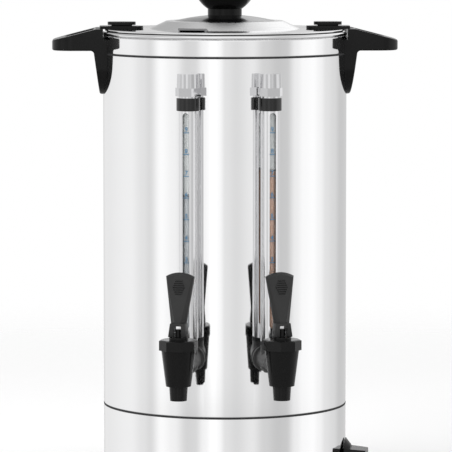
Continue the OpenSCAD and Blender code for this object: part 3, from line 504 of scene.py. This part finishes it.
def make_body():
    spindle_way_r = 0.0053
    gland_way_r = 0.0078
    base = sheet_ring("base_shell", 2 * flange_w)
    ways = (("control_knob", spindle_way_r), ("cable_gland", gland_way_r))
    cut_out(base, [way_through(node, way_r, shell_r) for node, way_r in ways])
    shell = sheet_ring("outer_shell", flange_w)
    cut_out(shell, [way_through("shank_washer_" + side, tap_way_r, shell_r) for side in sides])
    sheet_ring("top_collar", flange_w)


def oblong(left, right, low, high):
    """Corners of an upright rectangle, in (across, up)."""
    return [(left, low), (right, low), (right, high), (left, high)]


def make_seam_lines():
    """Thin black ring in each seam, painted shade for the groove's dark line, pressed flat as the rings
    close on it.
    """
    bead_h = 0.0020
    sink = 0.0012
    stand_out = 0.0001
    sag = 0.0005
    soft = 0.0003
    for node in ("outer_shell", "top_collar"):
        mid_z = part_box(node)[0].z - sag
        corners = oblong(shell_r - sink, shell_r + stand_out, mid_z - bead_h / 2, mid_z + bead_h / 2)
        outline = rounded([(r, z, soft if r > shell_r else 0) for r, z in corners])
        # Black ring in the groove: painted shade, not a real seal.
        bead = turned(node + "_seam_painted_shade", outline, (axis_x, axis_y), steps=256)
        fit(bead, rubber, "root")


# Mirror-bright stainless with the very fine lines of the polishing wheel running round it.
polished_steel = new_finish(
    "polished_steel", color=(0.89, 0.89, 0.895), metallic=1, roughness=0.06,
    dark=(0.88, 0.88, 0.885), light=(0.91, 0.91, 0.915), patches=5, patch_stretch=(1, 1, 3),
    lines=(14, 14, 1400), smooth=0.04, rough=0.08, depth=0.00002, strength=0.06,
)
make_body()
make_seam_lines()


# Tank: the inner pot of drawn stainless steel, which hangs from the collar by its rolled rim.
# A wall across the middle splits it in two chambers, one for each tap.
def make_tank():
    low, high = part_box("inner_tank")
    out_r = (high.x - low.x) / 2
    bead_r = 0.0022
    bead_mid = out_r - bead_r
    bead_z = high.z - bead_r
    wall_t = 0.001
    tank_r = 0.118
    rim_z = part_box("top_collar")[1].z
    rim_corner = 0.0009
    corner = 0.006
    roll_from, roll_to, roll_step = -58, 230, 12
    outline = rounded([
        (0, low.z, 0), (tank_r, low.z, corner), (tank_r, rim_z, 0), (bead_mid, rim_z, 0),
    ])
    for degrees in range(roll_from, roll_to, roll_step):
        turn = math.radians(degrees)
        outline.append((bead_mid + bead_r * math.cos(turn), bead_z + bead_r * math.sin(turn)))
    outline += rounded([
        (bead_mid - bead_r, rim_z + wall_t, 0), (tank_r - wall_t, rim_z + wall_t, rim_corner),
        (tank_r - wall_t, low.z + wall_t, corner - wall_t), (0, low.z + wall_t, 0),
    ])
    tank = turned("inner_tank_drawn", outline, (axis_x, axis_y), steps=256)
    fit(tank, polished_steel, "root", "inner_tank")
    tank.data.materials.append(tank_steel)
    polished_from = rim_z + 0.0002
    for face in tank.data.polygons:
        face.material_index = 0 if face.center.z > polished_from else 1
    cut_out(tank, [way_through("shank_washer_" + side, tap_way_r, tank_r) for side in sides])


# Drawn and washed steel, satin inside.
tank_steel = new_finish(
    "tank_steel", color=(0.70, 0.70, 0.70), metallic=0.4, roughness=0.26,
    dark=(0.67, 0.67, 0.675), light=(0.73, 0.73, 0.735), patches=12,
    lines=(3, 3, 1400), smooth=0.22, rough=0.34, depth=0.00001, strength=0.06,
)
make_tank()
dress("tank_divider", tank_steel)


# Heating: a steel plate pressed to the tank's floor, with a steel-sheathed ring brazed under it.
# The thermostat, the cut-out and the terminals sit in the base, in pale heat-proof mouldings. The ring's
# sheath is blued and smoked by heat.
pale_plastic = new_finish(
    "pale_plastic", color=(0.72, 0.68, 0.58), metallic=0, roughness=0.5,
    dark=(0.66, 0.62, 0.52), light=(0.76, 0.72, 0.63), patches=70,
    grain=900, smooth=0.44, rough=0.60, depth=0.00005, strength=0.3,
)
heated_sheath = new_finish(
    "heated_sheath", color=(0.20, 0.19, 0.20), metallic=1, roughness=0.45,
    dark=(0.12, 0.12, 0.15), light=(0.30, 0.26, 0.22), patches=45,
    grain=45, smooth=0.38, rough=0.56,
)
dress("heater_plate", plain_steel)
dress("heating_element", heated_sheath)
for node in ("thermostat_body", "thermal_cutout", "terminal_block"):
    dress(node, pale_plastic)
dress("thermostat_spindle", plain_steel)


# Cable gland: a black nylon screw gland through the back of the base, with a hexagon to tighten it.
# The thermostat knob on the right is a black moulding too, pushed on the spindle.
def plastic_finish(name, dark, light, smooth, rough, shine):
    """Moulded black or dark grey plastic, satin, with the fine grain of the mould."""
    return new_finish(
        name, color=(light,) * 3, metallic=0, roughness=(smooth + rough) / 2,
        dark=(dark,) * 3, light=(light,) * 3, patches=35,
        grain=2200, smooth=smooth, rough=rough, depth=0.00004, strength=0.25,
        sockets={"Specular IOR Level": shine},
    )


def mould(node, finish, body, width, steps=3, picks=None):
    """Copy of a node with its sharp edges rounded, as a mould leaves them, which takes the node's place.

    Where picks is given, only the edges for which it says yes are rounded.
    """
    edge_degrees = 30
    flat_degrees = 0.6
    weld = 2e-6
    mesh = bpy.data.objects[node].data.copy()
    mesh.materials.clear()
    shape = bmesh.new()
    shape.from_mesh(mesh)
    bmesh.ops.remove_doubles(shape, verts=shape.verts, dist=weld)
    flat = math.radians(flat_degrees)
    bmesh.ops.dissolve_limit(shape, angle_limit=flat, verts=shape.verts, edges=shape.edges)
    bmesh.ops.recalc_face_normals(shape, faces=shape.faces)
    if picks:
        sharp = [edge for edge in shape.edges if edge.calc_face_angle(0) > math.radians(edge_degrees)]
        chosen = [edge for edge in sharp if picks(edge)]
        bmesh.ops.bevel(shape, geom=chosen, offset=width, segments=steps, profile=0.5, affect="EDGES")
        bmesh.ops.remove_doubles(shape, verts=shape.verts, dist=weld)
        bmesh.ops.dissolve_degenerate(shape, edges=shape.edges, dist=weld)
        bmesh.ops.recalc_face_normals(shape, faces=shape.faces)
    shape.to_mesh(mesh)
    shape.free()
    if "custom_normal" in mesh.attributes:
        mesh.attributes.remove(mesh.attributes["custom_normal"])
    piece = add_piece(node + "_moulded", mesh, edge_degrees)
    if not picks:
        edge = piece.modifiers.new("edge", "BEVEL")
        edge.width = width
        edge.segments = steps
        edge.limit_method = "ANGLE"
        edge.angle_limit = math.radians(edge_degrees)
        edge.miter_outer = "MITER_ARC"
    even = piece.modifiers.new("even", "WEIGHTED_NORMAL")
    even.keep_sharp = bool(picks)
    bake(piece)
    shade_smooth(piece.data)
    fit(piece, finish, body, node)


satin_black = plastic_finish("satin_black", dark=0.004, light=0.007, smooth=0.16, rough=0.24, shine=0.15)
mould("cable_gland", satin_black, "root", width=0.0006)
mould("control_knob", satin_black, "control", width=0.0012)


# Handles: two black mouldings screwed to the shell from inside, each a shield plate with a D-shaped grip.
# A hooked slot in the top of each takes the lug of the lid's ear.
lug_slot_r = 0.1415
lug_slot_depth = 0.013
lug_slot_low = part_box("top_collar")[1].z - lug_slot_depth
arm_h = 0.0227
arm_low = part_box("handle_right")[1].z - arm_h


def on_the_outside(edge):
    """Says whether an edge of a handle is clear of the shell, of the lug's slot and of the arms' root."""
    off_shell = 0.0012
    finger_half = 0.0205
    root_r = 0.150
    root_half = 0.007
    for v in edge.verts:
        out = math.hypot(v.co.x - axis_x, v.co.y - axis_y)
        in_slot = v.co.z > lug_slot_low and out < lug_slot_r
        between_arms = abs(v.co.y - axis_y) < finger_half
        at_root = between_arms and abs(v.co.z - arm_low) < root_half and out < root_r
        if out < shell_r + off_shell or in_slot or at_root:
            return False
    return True


for side in sides:
    mould("handle_" + side, satin_black, "root",
          width=0.0018, steps=4, picks=on_the_outside)
dress("handle_screws", plain_steel)


# Tap shanks: black mouldings, made dark grey in colour as painted sheen, threaded through shell and tank
# with a washer outside and a nut inside.
# Each carries the round boss that the gauge stands in. The nut is chrome-plated brass.
# The bright plate has faint marks from handling.
chrome = new_finish(
    "bright_chrome", color=(0.64, 0.64, 0.65), metallic=1, roughness=0.06,
    dark=(0.61, 0.61, 0.62), light=(0.67, 0.67, 0.68), patches=30,
    grain=240, smooth=0.04, rough=0.10,
)
# Black plastic lightened to grey: painted satin sheen.
shank_painted_sheen_grey = plastic_finish("shank_painted_sheen_grey", dark=0.036, light=0.050, smooth=0.34, rough=0.46, shine=0.4)
for side in sides:
    mould("tap_shank_" + side, shank_painted_sheen_grey, "root", width=0.0010)
    mould("shank_nut_" + side, chrome, "root", width=0.0005)
    mould("shank_washer_" + side, rubber, "root", width=0.0004)


# Taps: a tapered black moulding with a short spout, closed by an eight-sided bonnet that guides the stem.
# A spring presses the stem's silicone cup on the seat, so the tap shuts by itself.
def silicone_finish(name, color):
    """Soft moulded silicone, matt, that lets a little light in."""
    return new_finish(
        name, color=color, metallic=0, roughness=0.55, dark=tuple(0.92 * c for c in color), light=color,
        patches=50, grain=600, smooth=0.48, rough=0.66,
        sockets={"Subsurface Weight": 0.15, "Subsurface Radius": (0.002, 0.002, 0.002)},
    )


def coil(node, finish):
    """Copy of a spring node with its place baked into the mesh, which takes the node's place."""
    mesh = bpy.data.objects[node].data.copy()
    mesh.materials.clear()
    mesh.materials.append(finish)
    piece = add_piece(node + "_coil", mesh, sharp_degrees=70)
    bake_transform(piece)
    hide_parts(node)


tap_black = plastic_finish("tap_black", dark=0.004, light=0.006, smooth=0.11, rough=0.17, shine=0.18)
silicone = silicone_finish("white_silicone", (0.80, 0.79, 0.76))
for side in sides:
    valve = "valve_" + side
    mould("tap_body_" + side, tap_black, "root", width=0.0010)
    mould("tap_bonnet_" + side, tap_black, "root", width=0.0010)
    mould("valve_stem_" + side, tap_black, valve, width=0.0005)
    dress("seat_cup_" + side, silicone)
    coil("stem_spring_" + side, plain_steel)


# Levers: forked black mouldings that straddle the stem and turn on a steel pin through it.
# The paddle has a raised bevelled face and a ribbed rest for the thumb.
def lofted(name, loops, sharp_degrees=24):
    """Solid through a row of closed outlines that all have the same number of points."""
    shape = bmesh.new()
    rims = [[shape.verts.new(point) for point in loop] for loop in loops]
    for here, there in zip(rims, rims[1:]):
        for i in range(len(here)):
            j = (i + 1) % len(here)
            shape.faces.new((here[i], here[j], there[j], there[i]))
    shape.faces.new(rims[0])
    shape.faces.new(rims[-1])
    bmesh.ops.recalc_face_normals(shape, faces=shape.faces)
    return piece_from(shape, name, sharp_degrees)


def slab(name, corners, half_depth, edge):
    """Plate from a front outline in (across, up), with all its edges eased."""
    shape = bmesh.new()
    front = [shape.verts.new((x, -half_depth, z)) for x, z in corners]
    back = [shape.verts.new((x, half_depth, z)) for x, z in corners]
    shape.faces.new(front)
    shape.faces.new(back)
    for i in range(len(corners)):
        j = (i + 1) % len(corners)
        shape.faces.new((front[i], front[j], back[j], back[i]))
    bmesh.ops.recalc_face_normals(shape, faces=shape.faces)
    bmesh.ops.bevel(shape, geom=shape.edges[:], offset=edge, segments=2, affect="EDGES", profile=0.5)
    return piece_from(shape, name, sharp_degrees=30)


def paddle_points(top_w, low_w, top_z, low_z):
    """Front view of a lever's paddle, from its waist up to the arc along its top."""
    half_w = 0.0147
    rise = 0.004
    arc_r = (half_w ** 2 + rise ** 2) / (2 * rise)
    steps = 14
    arc = [top_w / 2 * (1 - 2 * k / steps) for k in range(steps + 1)]
    foot = [(-low_w / 2, low_z), (low_w / 2, low_z)]
    return foot + [(x, top_z - arc_r + math.sqrt(arc_r ** 2 - x * x)) for x in arc]


waist_w = 0.0153


def make_paddle(waist_z, top_z):
    """Paddle that leans back from the waist, grooved for the thumb, and the ribs between its grooves."""
    full_w, raised_w = 0.0294, 0.0264
    raised_waist_w = 0.4 * waist_w
    bevel_h = 0.003
    tuck = 0.001
    face_y = -0.0040
    lean_degrees = -8
    sections = [
        (0.0040, 0.10), (0.0036, 0.0), (-0.0006, 0.0), (-0.0011, 0.05), (-0.0036, 0.90), (face_y, 1.02),
    ]
    full = paddle_points(full_w, waist_w, top_z, waist_z - tuck)
    raised = paddle_points(raised_w, raised_waist_w, top_z - bevel_h, waist_z - tuck)
    paddle = lofted("lever_paddle", [
        [(x0 + (x1 - x0) * share, y, z0 + (z1 - z0) * share) for (x0, z0), (x1, z1) in zip(full, raised)]
        for y, share in sections
    ])
    rest_z = top_z - 0.0155
    rest_half, rest_taper = 0.0064, 0.0009
    rib_h, rib_pitch = 0.0011, 0.0022
    ribs_each_way = 3
    ribs = []
    grooves = []
    for i in range(-ribs_each_way, ribs_each_way + 1):
        half = rest_half - rest_taper * abs(i)
        z = rest_z + i * rib_pitch
        groove_z = z - rib_pitch + rib_h
        rib = oblong(-half, half, z, z + rib_h)
        ribs.append(slab("thumb_rib", rib, half_depth=0.0006, edge=0.0003))
        groove = oblong(-half, half, groove_z, z)
        grooves.append(slab("thumb_groove", groove, half_depth=0.0014, edge=0.0002))
    for part in ribs + grooves:
        part.data.transform(Matrix.Translation((0, face_y, 0)))
    cut_out(paddle, grooves)
    waist = Matrix.Translation((0, 0, waist_z))
    lean = waist @ Matrix.Rotation(math.radians(lean_degrees), 4, "X") @ waist.inverted()
    for part in [paddle] + ribs:
        part.data.transform(lean)
    return paddle, ribs


def make_foot(foot_z, waist_z, pin_z, pin_r):
    """Forked foot that straddles the stem, bored across for the pin."""
    foot_w = 0.0195
    slot_w = 0.0081
    slot_top = pin_z + pin_r + 0.0055
    hole_r = pin_r + 0.00005
    hole_half = 0.03
    overrun = 0.002
    foot = slab("lever_foot", [
        (-foot_w / 2, foot_z), (foot_w / 2, foot_z), (waist_w / 2, waist_z), (-waist_w / 2, waist_z),
    ], half_depth=0.0057, edge=0.0006)
    fork = oblong(-slot_w / 2, slot_w / 2, foot_z - overrun, slot_top)
    turns = [math.radians(degrees) for degrees in range(0, 360, 15)]
    hole = [[(x, hole_r * math.cos(turn), pin_z + hole_r * math.sin(turn)) for turn in turns]
            for x in (-hole_half, hole_half)]
    cut_out(foot, [slab("fork", fork, half_depth=0.02, edge=0.0008), lofted("hole", hole)])
    return foot


def make_lever(side):
    node = "tap_lever_" + side
    collar_h = 0.0024
    bonnet_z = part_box("tap_bonnet_" + side)[1].z - collar_h
    waist_z = bonnet_z + 0.017
    top_z = bonnet_z + 0.069
    stem_low, stem_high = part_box("valve_stem_" + side)
    pin_low, pin_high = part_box("lever_pin_" + side)
    foot_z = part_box(node)[0].z
    foot = make_foot(foot_z, waist_z, (pin_low.z + pin_high.z) / 2, (pin_high.z - pin_low.z) / 2)
    paddle, ribs = make_paddle(waist_z, top_z)
    lever = join_pieces(node + "_moulded", [paddle, foot] + ribs)
    middle = (stem_low + stem_high) / 2
    turn = Matrix.Rotation(math.radians(middle_of("valve_stem_" + side)[0]), 4, "Z")
    lever.data.transform(Matrix.Translation((middle.x, middle.y, 0)) @ turn)
    lever.data.materials.clear()
    fit(lever, lever_black, "lever_" + side, node)


lever_black = plastic_finish("lever_black", dark=0.014, light=0.022, smooth=0.32, rough=0.46, shine=0.34)
for side in sides:
    make_lever(side)
    dress("lever_pin_" + side, plain_steel)


# Gauges: a glass tube on each shank's boss, inside a slotted steel tube that guards it.
# A blue half-litre scale is printed on the glass, and the drink stands in it as high as in its chamber.
def glass_finish(name, level_z):
    """Drawn glass tube, clear in the drink and misted by steam above it."""
    mist_low, mist_high = level_z - 0.002, level_z + 0.003
    clear, misted = 0.10, 0.30
    finish = new_finish(
        name, color=(0.84, 0.87, 0.87), metallic=0, roughness=0.03,
        dark=(0.80, 0.83, 0.83), light=(0.88, 0.91, 0.91), patches=90,
        grain=160, smooth=0.02, rough=0.06, sockets={"IOR": 1.47},
    )
    tree = finish.node_tree
    place = tree.nodes.new("ShaderNodeTexCoord")
    split = tree.nodes.new("ShaderNodeSeparateXYZ")
    mist = map_range(tree, split.outputs["Z"], mist_low, mist_high, clear, misted)
    alpha = tree.nodes["Principled BSDF"].inputs["Alpha"]
    link_nodes(tree, (place.outputs["Object"], split.inputs[0]), (mist, alpha))
    return finish


def print_on_tube(name, flat, centre, bearing, radius):
    """Wraps a flat drawing, in metres across and up, round an upright tube's front as a coat of ink."""
    ink_t = 0.00005
    weld = 2e-6
    slices = 8
    shape = bmesh.new()
    shape.from_mesh(flat)
    bmesh.ops.remove_doubles(shape, verts=shape.verts, dist=weld)
    across = [v.co.x for v in shape.verts]
    for k in range(1, slices):
        at = min(across) + (max(across) - min(across)) * k / slices
        bmesh.ops.bisect_plane(shape, geom=shape.verts[:] + shape.edges[:] + shape.faces[:],
                               plane_co=(at, 0, 0), plane_no=(1, 0, 0))
    bmesh.ops.dissolve_degenerate(shape, edges=shape.edges, dist=weld)
    coat = bmesh.ops.extrude_face_region(shape, geom=shape.faces[:], use_keep_orig=True)
    for part in coat["geom"]:
        if isinstance(part, bmesh.types.BMVert):
            part.co.z += ink_t
    for v in shape.verts:
        turn = math.radians(bearing) + v.co.x / radius
        out = radius + v.co.z
        v.co = (centre[0] + out * math.sin(turn), centre[1] - out * math.cos(turn), v.co.y)
    bmesh.ops.recalc_face_normals(shape, faces=shape.faces)
    return piece_from(shape, name)


def scale_drawing():
    """Flat scale: a line across for each half litre, with its number standing on the line."""
    top_z = 0.3989
    pitch = 0.0224
    marks = 9
    line_w = 0.0064
    line_h = 0.0009
    digit_h = 0.0062
    digit_bold = 0.00014
    lift = 0.0010
    shape = bmesh.new()
    for k in range(marks):
        z = top_z - k * pitch
        line = oblong(-line_w / 2, line_w / 2, z, z + line_h)
        shape.faces.new([shape.verts.new((x, y, 0)) for x, y in line])
        digit = bpy.data.curves.new("digit", "FONT")
        digit.body = str(marks - k)
        digit.size = digit_h
        digit.align_x = "CENTER"
        digit.offset = digit_bold
        stamp = bpy.data.objects.new("digit", digit)
        bpy.context.scene.collection.objects.link(stamp)
        view = bpy.context.evaluated_depsgraph_get()
        mesh = bpy.data.meshes.new_from_object(stamp.evaluated_get(view))
        mesh.transform(Matrix.Translation((0, z + line_h + lift, 0)))
        shape.from_mesh(mesh)
        bpy.data.objects.remove(stamp)
        bpy.data.curves.remove(digit)
        bpy.data.meshes.remove(mesh)
    flat = bpy.data.meshes.new("scale_drawing")
    shape.to_mesh(flat)
    shape.free()
    return flat


def slot_solid(width, low_z, high_z, centre, bearing, reach):
    """Bar with round ends, as a slotting cutter leaves it, across an upright tube."""
    r = width / 2
    steps = 12
    ends = [(high_z - r, 0), (low_z + r, 180)]
    corners = [(z, math.radians(start + 180 * k / steps)) for z, start in ends for k in range(steps + 1)]
    outline = [(r * math.cos(turn), z + r * math.sin(turn)) for z, turn in corners]
    place = Matrix.Translation((*centre, 0)) @ Matrix.Rotation(math.radians(bearing), 4, "Z")
    return lofted("slot", [[place @ Vector((x, y, z)) for x, z in outline] for y in (-reach, reach)])


def make_shield(side):
    """Guard tube with a window slotted through its front and back."""
    node = "gauge_shield_" + side
    low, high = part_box(node)
    centre = ((low.x + high.x) / 2, (low.y + high.y) / 2)
    shield_r = (high.y - low.y) / 2
    bore_r = shield_r - 0.001
    burr = 0.0002
    window_w = 0.007
    window_low, window_high = low.z + 0.014, high.z - 0.002
    outline = rounded([(r, z, burr) for r, z in oblong(bore_r, shield_r, low.z, high.z)])
    tube = turned(node + "_drawn", outline, centre, steps=96)
    bearing = middle_of(node)[0]
    cut_out(tube, [slot_solid(window_w, window_low, window_high, centre, bearing, 2 * shield_r)])
    fit(tube, tube_steel, "root", node)


def make_gauge(side, drink, level_z):
    node = "gauge_glass_" + side
    low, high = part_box(node)
    centre = ((low.x + high.x) / 2, (low.y + high.y) / 2)
    bearing = middle_of(node)[0]
    glass_r = (high.x - low.x) / 2
    bore_r = glass_r - 0.0012
    polish = 0.0003
    outline = rounded([(r, z, polish) for r, z in oblong(bore_r, glass_r, low.z, high.z)])
    tube = turned(node + "_drawn", outline, centre, steps=64)
    fit(tube, glass_finish(node, level_z), "root", node)

    climb = 0.0012
    rows = 6
    drink_r = bore_r - 0.00005
    drink_low = low.z + 0.001
    surface = [(drink_r * k / rows, level_z - climb * (1 - (k / rows) ** 4)) for k in range(rows, -1, -1)]
    column = turned("drink_" + side, [(0, drink_low), (drink_r, drink_low)] + surface, centre, steps=48)
    fit(column, drink, "root")
    # Near-black ring at the drink's top edge: painted shade.
    edge_in, edge_out = drink_r - 0.0004, drink_r + 0.00004
    edge_h = 0.0020
    ring = oblong(edge_in, edge_out, level_z - climb, level_z + edge_h - climb)
    edge = turned("meniscus_painted_shade_" + side, ring, centre, steps=48)
    fit(edge, meniscus_painted_shade, "root")

    print_gap = 0.00004
    flat = scale_drawing()
    scale = print_on_tube("gauge_scale_" + side, flat, centre, bearing, glass_r + print_gap)
    bpy.data.meshes.remove(flat)
    fit(scale, ink, "root")

    make_shield(side)
    mould("gauge_cap_" + side, chrome, "root", width=0.0009)
    mould("gauge_nut_" + side, nut_black, "root", width=0.0006)
    mould("gauge_seal_" + side, rubber, "root", width=0.0005)


# Bright drawn steel, less mirror-like than the shell, and blue printing ink.
tube_steel = new_finish(
    "drawn_steel", color=(0.78, 0.78, 0.79), metallic=1, roughness=0.19,
    dark=(0.75, 0.75, 0.76), light=(0.81, 0.81, 0.82), patches=25,
    lines=(900, 900, 12), smooth=0.16, rough=0.22,
)
nut_black = plastic_finish("nut_black", dark=0.004, light=0.007, smooth=0.08, rough=0.14, shine=0.45)
ink = new_finish(
    "blue_ink", color=(0.07, 0.18, 0.30), metallic=0, roughness=0.45,
    dark=(0.055, 0.15, 0.26), light=(0.09, 0.21, 0.34), patches=700,
)
# Clear water, a little grey in the tube, a brown drink that light barely enters, and a near-black ring
# where the drink climbs the glass, painted shade for the dark line that the drink's curved top shows.
water = new_finish(
    "clear_water", color=(0.48, 0.51, 0.54), metallic=0, roughness=0.04,
    dark=(0.45, 0.48, 0.51), light=(0.51, 0.54, 0.57), patches=60, sockets={"Alpha": 0.7, "IOR": 1.33},
)
brown_drink = new_finish(
    "brown_drink", color=(0.42, 0.21, 0.115), metallic=0, roughness=0.18,
    dark=(0.38, 0.185, 0.100), light=(0.46, 0.235, 0.130), patches=50,
)
meniscus_painted_shade = new_finish(
    "meniscus_painted_shade", color=(0.018, 0.010, 0.008), metallic=0, roughness=0.25,
    dark=(0.014, 0.008, 0.006), light=(0.030, 0.016, 0.012), patches=300,
)
make_gauge("left", water, level_z=0.3345)
make_gauge("right", brown_drink, level_z=0.3604)


# Lid seal: a dark silicone ring that lies inside the rolled rim and carries the lid.
# It lifts off together with the lid, which turns on it to lock.
dress("lid_seal", silicone_finish("dark_silicone", (0.06, 0.06, 0.06)))


# Lid: spun from polished stainless sheet, with a turned-down edge, a raised cone and a dome under the
# knob. A steam vent is slit and pushed up in its rim, at the front left.
lid_low, lid_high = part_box("lid_shell")
lid_r = (lid_high.x - lid_low.x) / 2
lid_t = 0.001
seal_gap = 0.0001
lid_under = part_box("lid_seal")[1].z + seal_gap
lid_top = lid_under + lid_t
vent_bearing = -22
vent_half = 9
vent_r = 0.094
vent_reach = 0.006


def arc_solid(name, outline, start, sweep, steps=24):
    """Part of a solid of revolution about the body's axis, between two bearings in degrees."""
    loops = []
    for k in range(steps + 1):
        turn = math.radians(start + sweep * k / steps)
        x, y = math.sin(turn), math.cos(turn)
        loops.append([(axis_x + r * x, axis_y - r * y, z) for r, z in outline])
    return lofted(name, loops, sharp_degrees=35)


def painted_reflection_steel(name, grey, rough):
    """Polished steel made darker in its colour: painted reflection and shade for the dome, cone and vent.
    """
    low, high = 0.93 * grey, 1.07 * grey
    blue = 0.005
    spread = 0.04
    return new_finish(
        name, color=(grey, grey, grey + blue), metallic=1, roughness=rough,
        dark=(low, low, low + blue), light=(high, high, high + blue), patches=12,
        lines=(14, 14, 1400), smooth=rough - spread, rough=rough + spread,
    )


def make_lid():
    cone_foot_r = 0.081
    cone_top_r = 0.0625
    cone_top = lid_top + 0.0085
    foot_bend = 0.0040
    top_bend, top_bend_under = 0.0022, 0.0020
    dome_r = 0.0535
    dome_h = lid_high.z - cone_top
    dome_curve = (dome_r ** 2 + dome_h ** 2) / (2 * dome_h)
    dome_mid = lid_high.z - dome_curve
    rows = 12
    edge_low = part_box("inner_tank")[1].z + 0.0012
    edge_bend = 0.0010
    skirt_r = 0.116
    skirt_edge = 0.0004
    dome_steps = [dome_r * k / rows for k in range(rows + 1)]
    dome = [(r, dome_mid + math.sqrt(dome_curve ** 2 - r ** 2)) for r in dome_steps]
    outer = rounded([
        (0, cone_top, 0), (dome_r, cone_top, 0), (cone_top_r, cone_top, top_bend),
        (cone_foot_r, lid_top, foot_bend), (lid_r, lid_top, edge_bend), (lid_r, edge_low, 0),
        (lid_r - lid_t, edge_low, 0), (lid_r - lid_t, lid_under, 0), (skirt_r, lid_under, 0),
        (skirt_r, lid_low.z, skirt_edge), (skirt_r - lid_t, lid_low.z, skirt_edge),
        (skirt_r - lid_t, lid_under, 0), (cone_foot_r - lid_t, lid_under, foot_bend),
        (cone_top_r - lid_t / 2, cone_top - lid_t, top_bend_under), (dome_r, cone_top - lid_t, 0),
    ])[2:]
    inner = [(r, z - lid_t) for r, z in reversed(dome)]
    lid = turned("lid_shell_spun", dome + outer + inner, (axis_x, axis_y), steps=256, sharp_degrees=25)
    fit(lid, polished_steel, "lid", "lid_shell")

    overrun = 0.001
    slit_inset = 1.5
    slit_in, slit_out = vent_r - vent_reach / 2, vent_r + vent_reach - overrun
    slit = oblong(slit_in, slit_out, lid_under - overrun, lid_top + overrun)
    slit_start = vent_bearing - vent_half + slit_inset
    cut_out(lid, [arc_solid("slit", slit, slit_start, 2 * vent_half - 2 * slit_inset)])
    # The upper faces of the dome and cone take the darkened steel: painted reflection and shade.
    lid.data.materials.append(dome_painted_reflection)
    lid.data.materials.append(cone_painted_reflection)
    dome_end, cone_end = dome_r - 0.0004, cone_foot_r - 0.0010
    for face in lid.data.polygons:
        from_axis = math.hypot(face.center.x - axis_x, face.center.y - axis_y)
        if from_axis < dome_end and face.normal.z > 0:
            face.material_index = 1
        elif from_axis < cone_end and face.normal.z > 0:
            face.material_index = 2


def make_vent():
    """Hollow scoop over the slit, open to the front, with a cheek at each end."""
    foot_r, mouth_r = vent_r - vent_reach, vent_r + vent_reach
    foot_w = 0.002
    lip_r = mouth_r - 0.001
    root = lid_top - lid_t / 2
    crown = lid_top + 0.0036
    mouth_top = lid_top + 0.0016
    back_top, back_under = crown - 0.0004, crown - 0.0016
    lip_under = crown - 0.0010
    scoop_bend = 0.004
    lip_bend, lip_bend_under = 0.0010, 0.0002
    scoop = arc_solid("vent_scoop", rounded([
        (foot_r, root, 0), (foot_r + foot_w, root, 0), (vent_r, back_under, scoop_bend),
        (lip_r, lip_under, lip_bend_under), (lip_r, mouth_top, 0), (mouth_r, mouth_top, 0),
        (mouth_r, crown, lip_bend), (vent_r, back_top, scoop_bend),
    ]), vent_bearing - vent_half, 2 * vent_half)
    cheek_in, cheek_out = foot_r + 0.001, mouth_r - 0.0006
    cheek_back, cheek_front = crown - 0.0009, crown - 0.0005
    cheek_w = 0.8
    cheek_inset = 0.1
    cheek = [(cheek_in, root), (cheek_out, root), (cheek_out, cheek_front), (vent_r, cheek_back)]
    first = vent_bearing - vent_half + cheek_inset
    last = vent_bearing + vent_half - cheek_inset - cheek_w
    cheeks = [arc_solid("vent_cheek", cheek, start, cheek_w, steps=2) for start in (first, last)]
    # The scoop takes the dome's dark steel: painted reflection and shade.
    fit(join_pieces("vent_scoop", [scoop] + cheeks), dome_painted_reflection, "lid")


# Dark grey steel for the dome and vent, and a slightly darker steel for the cone: painted reflection and
# shade.
dome_painted_reflection = painted_reflection_steel("dome_painted_reflection", grey=0.25, rough=0.18)
cone_painted_reflection = painted_reflection_steel("cone_painted_reflection", grey=0.84, rough=0.21)
make_lid()
make_vent()


# Knob: a glossy black ball turned from phenolic, on a neck that sits on the dome.
# A steel screw comes up through the lid and holds it.
# The phenolic is buffed near mirror-bright.
gloss_black = new_finish(
    "gloss_black", color=(0.006, 0.006, 0.006), metallic=0, roughness=0.12,
    dark=(0.003, 0.003, 0.003), light=(0.006, 0.006, 0.006), patches=40,
    grain=900, smooth=0.09, rough=0.17, sockets={"Specular IOR Level": 0.14},
)


def eased(points, rounds):
    """Cuts the corners off an open line, again and again, and keeps its two ends."""
    near, far = 0.75, 0.25
    for _ in range(rounds):
        cut = [points[0]]
        for (x0, y0), (x1, y1) in zip(points, points[1:]):
            cut.append((near * x0 + far * x1, near * y0 + far * y1))
            cut.append((far * x0 + near * x1, far * y0 + near * y1))
        cut.append(points[-1])
        points = cut
    return points


def make_knob():
    low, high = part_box("lid_knob")
    knob_r = (high.x - low.x) / 2
    neck_r = 0.0182
    neck_top = high.z - 0.043
    neck_end = neck_top - 0.0004
    under_curve = 0.0337
    crown_curve = 0.038
    under_mid = neck_top + math.sqrt(under_curve ** 2 - neck_r ** 2)
    crown_mid = high.z - crown_curve
    rows = 14
    under = [neck_r + (knob_r - neck_r) * k / rows for k in range(rows + 1)]
    ball = [(r, under_mid - math.sqrt(under_curve ** 2 - r * r)) for r in under]
    for k in range(rows, -1, -1):
        r = knob_r * k / rows
        side_z = under_mid + math.sqrt(under_curve ** 2 - r * r)
        crown_z = crown_mid + math.sqrt(crown_curve ** 2 - r * r)
        ball.append((r, min(side_z, crown_z)))
    outline = [(0, low.z), (neck_r, low.z), (neck_r, neck_end)] + eased(ball, rounds=2)
    knob = turned("lid_knob_turned", outline, (axis_x, axis_y), steps=128, sharp_degrees=40)
    fit(knob, gloss_black, "lid", "lid_knob")


make_knob()
dress("knob_screw", plain_steel)


# Ears: two black mouldings riveted to the lid's rim, one over each handle.
# Each has a finger pad on top, and under it a tab with the lug that locks in the handle.
for side in sides:
    mould("lid_ear_" + side, satin_black, "lid", width=0.0008)
dress("ear_rivets", plain_steel)
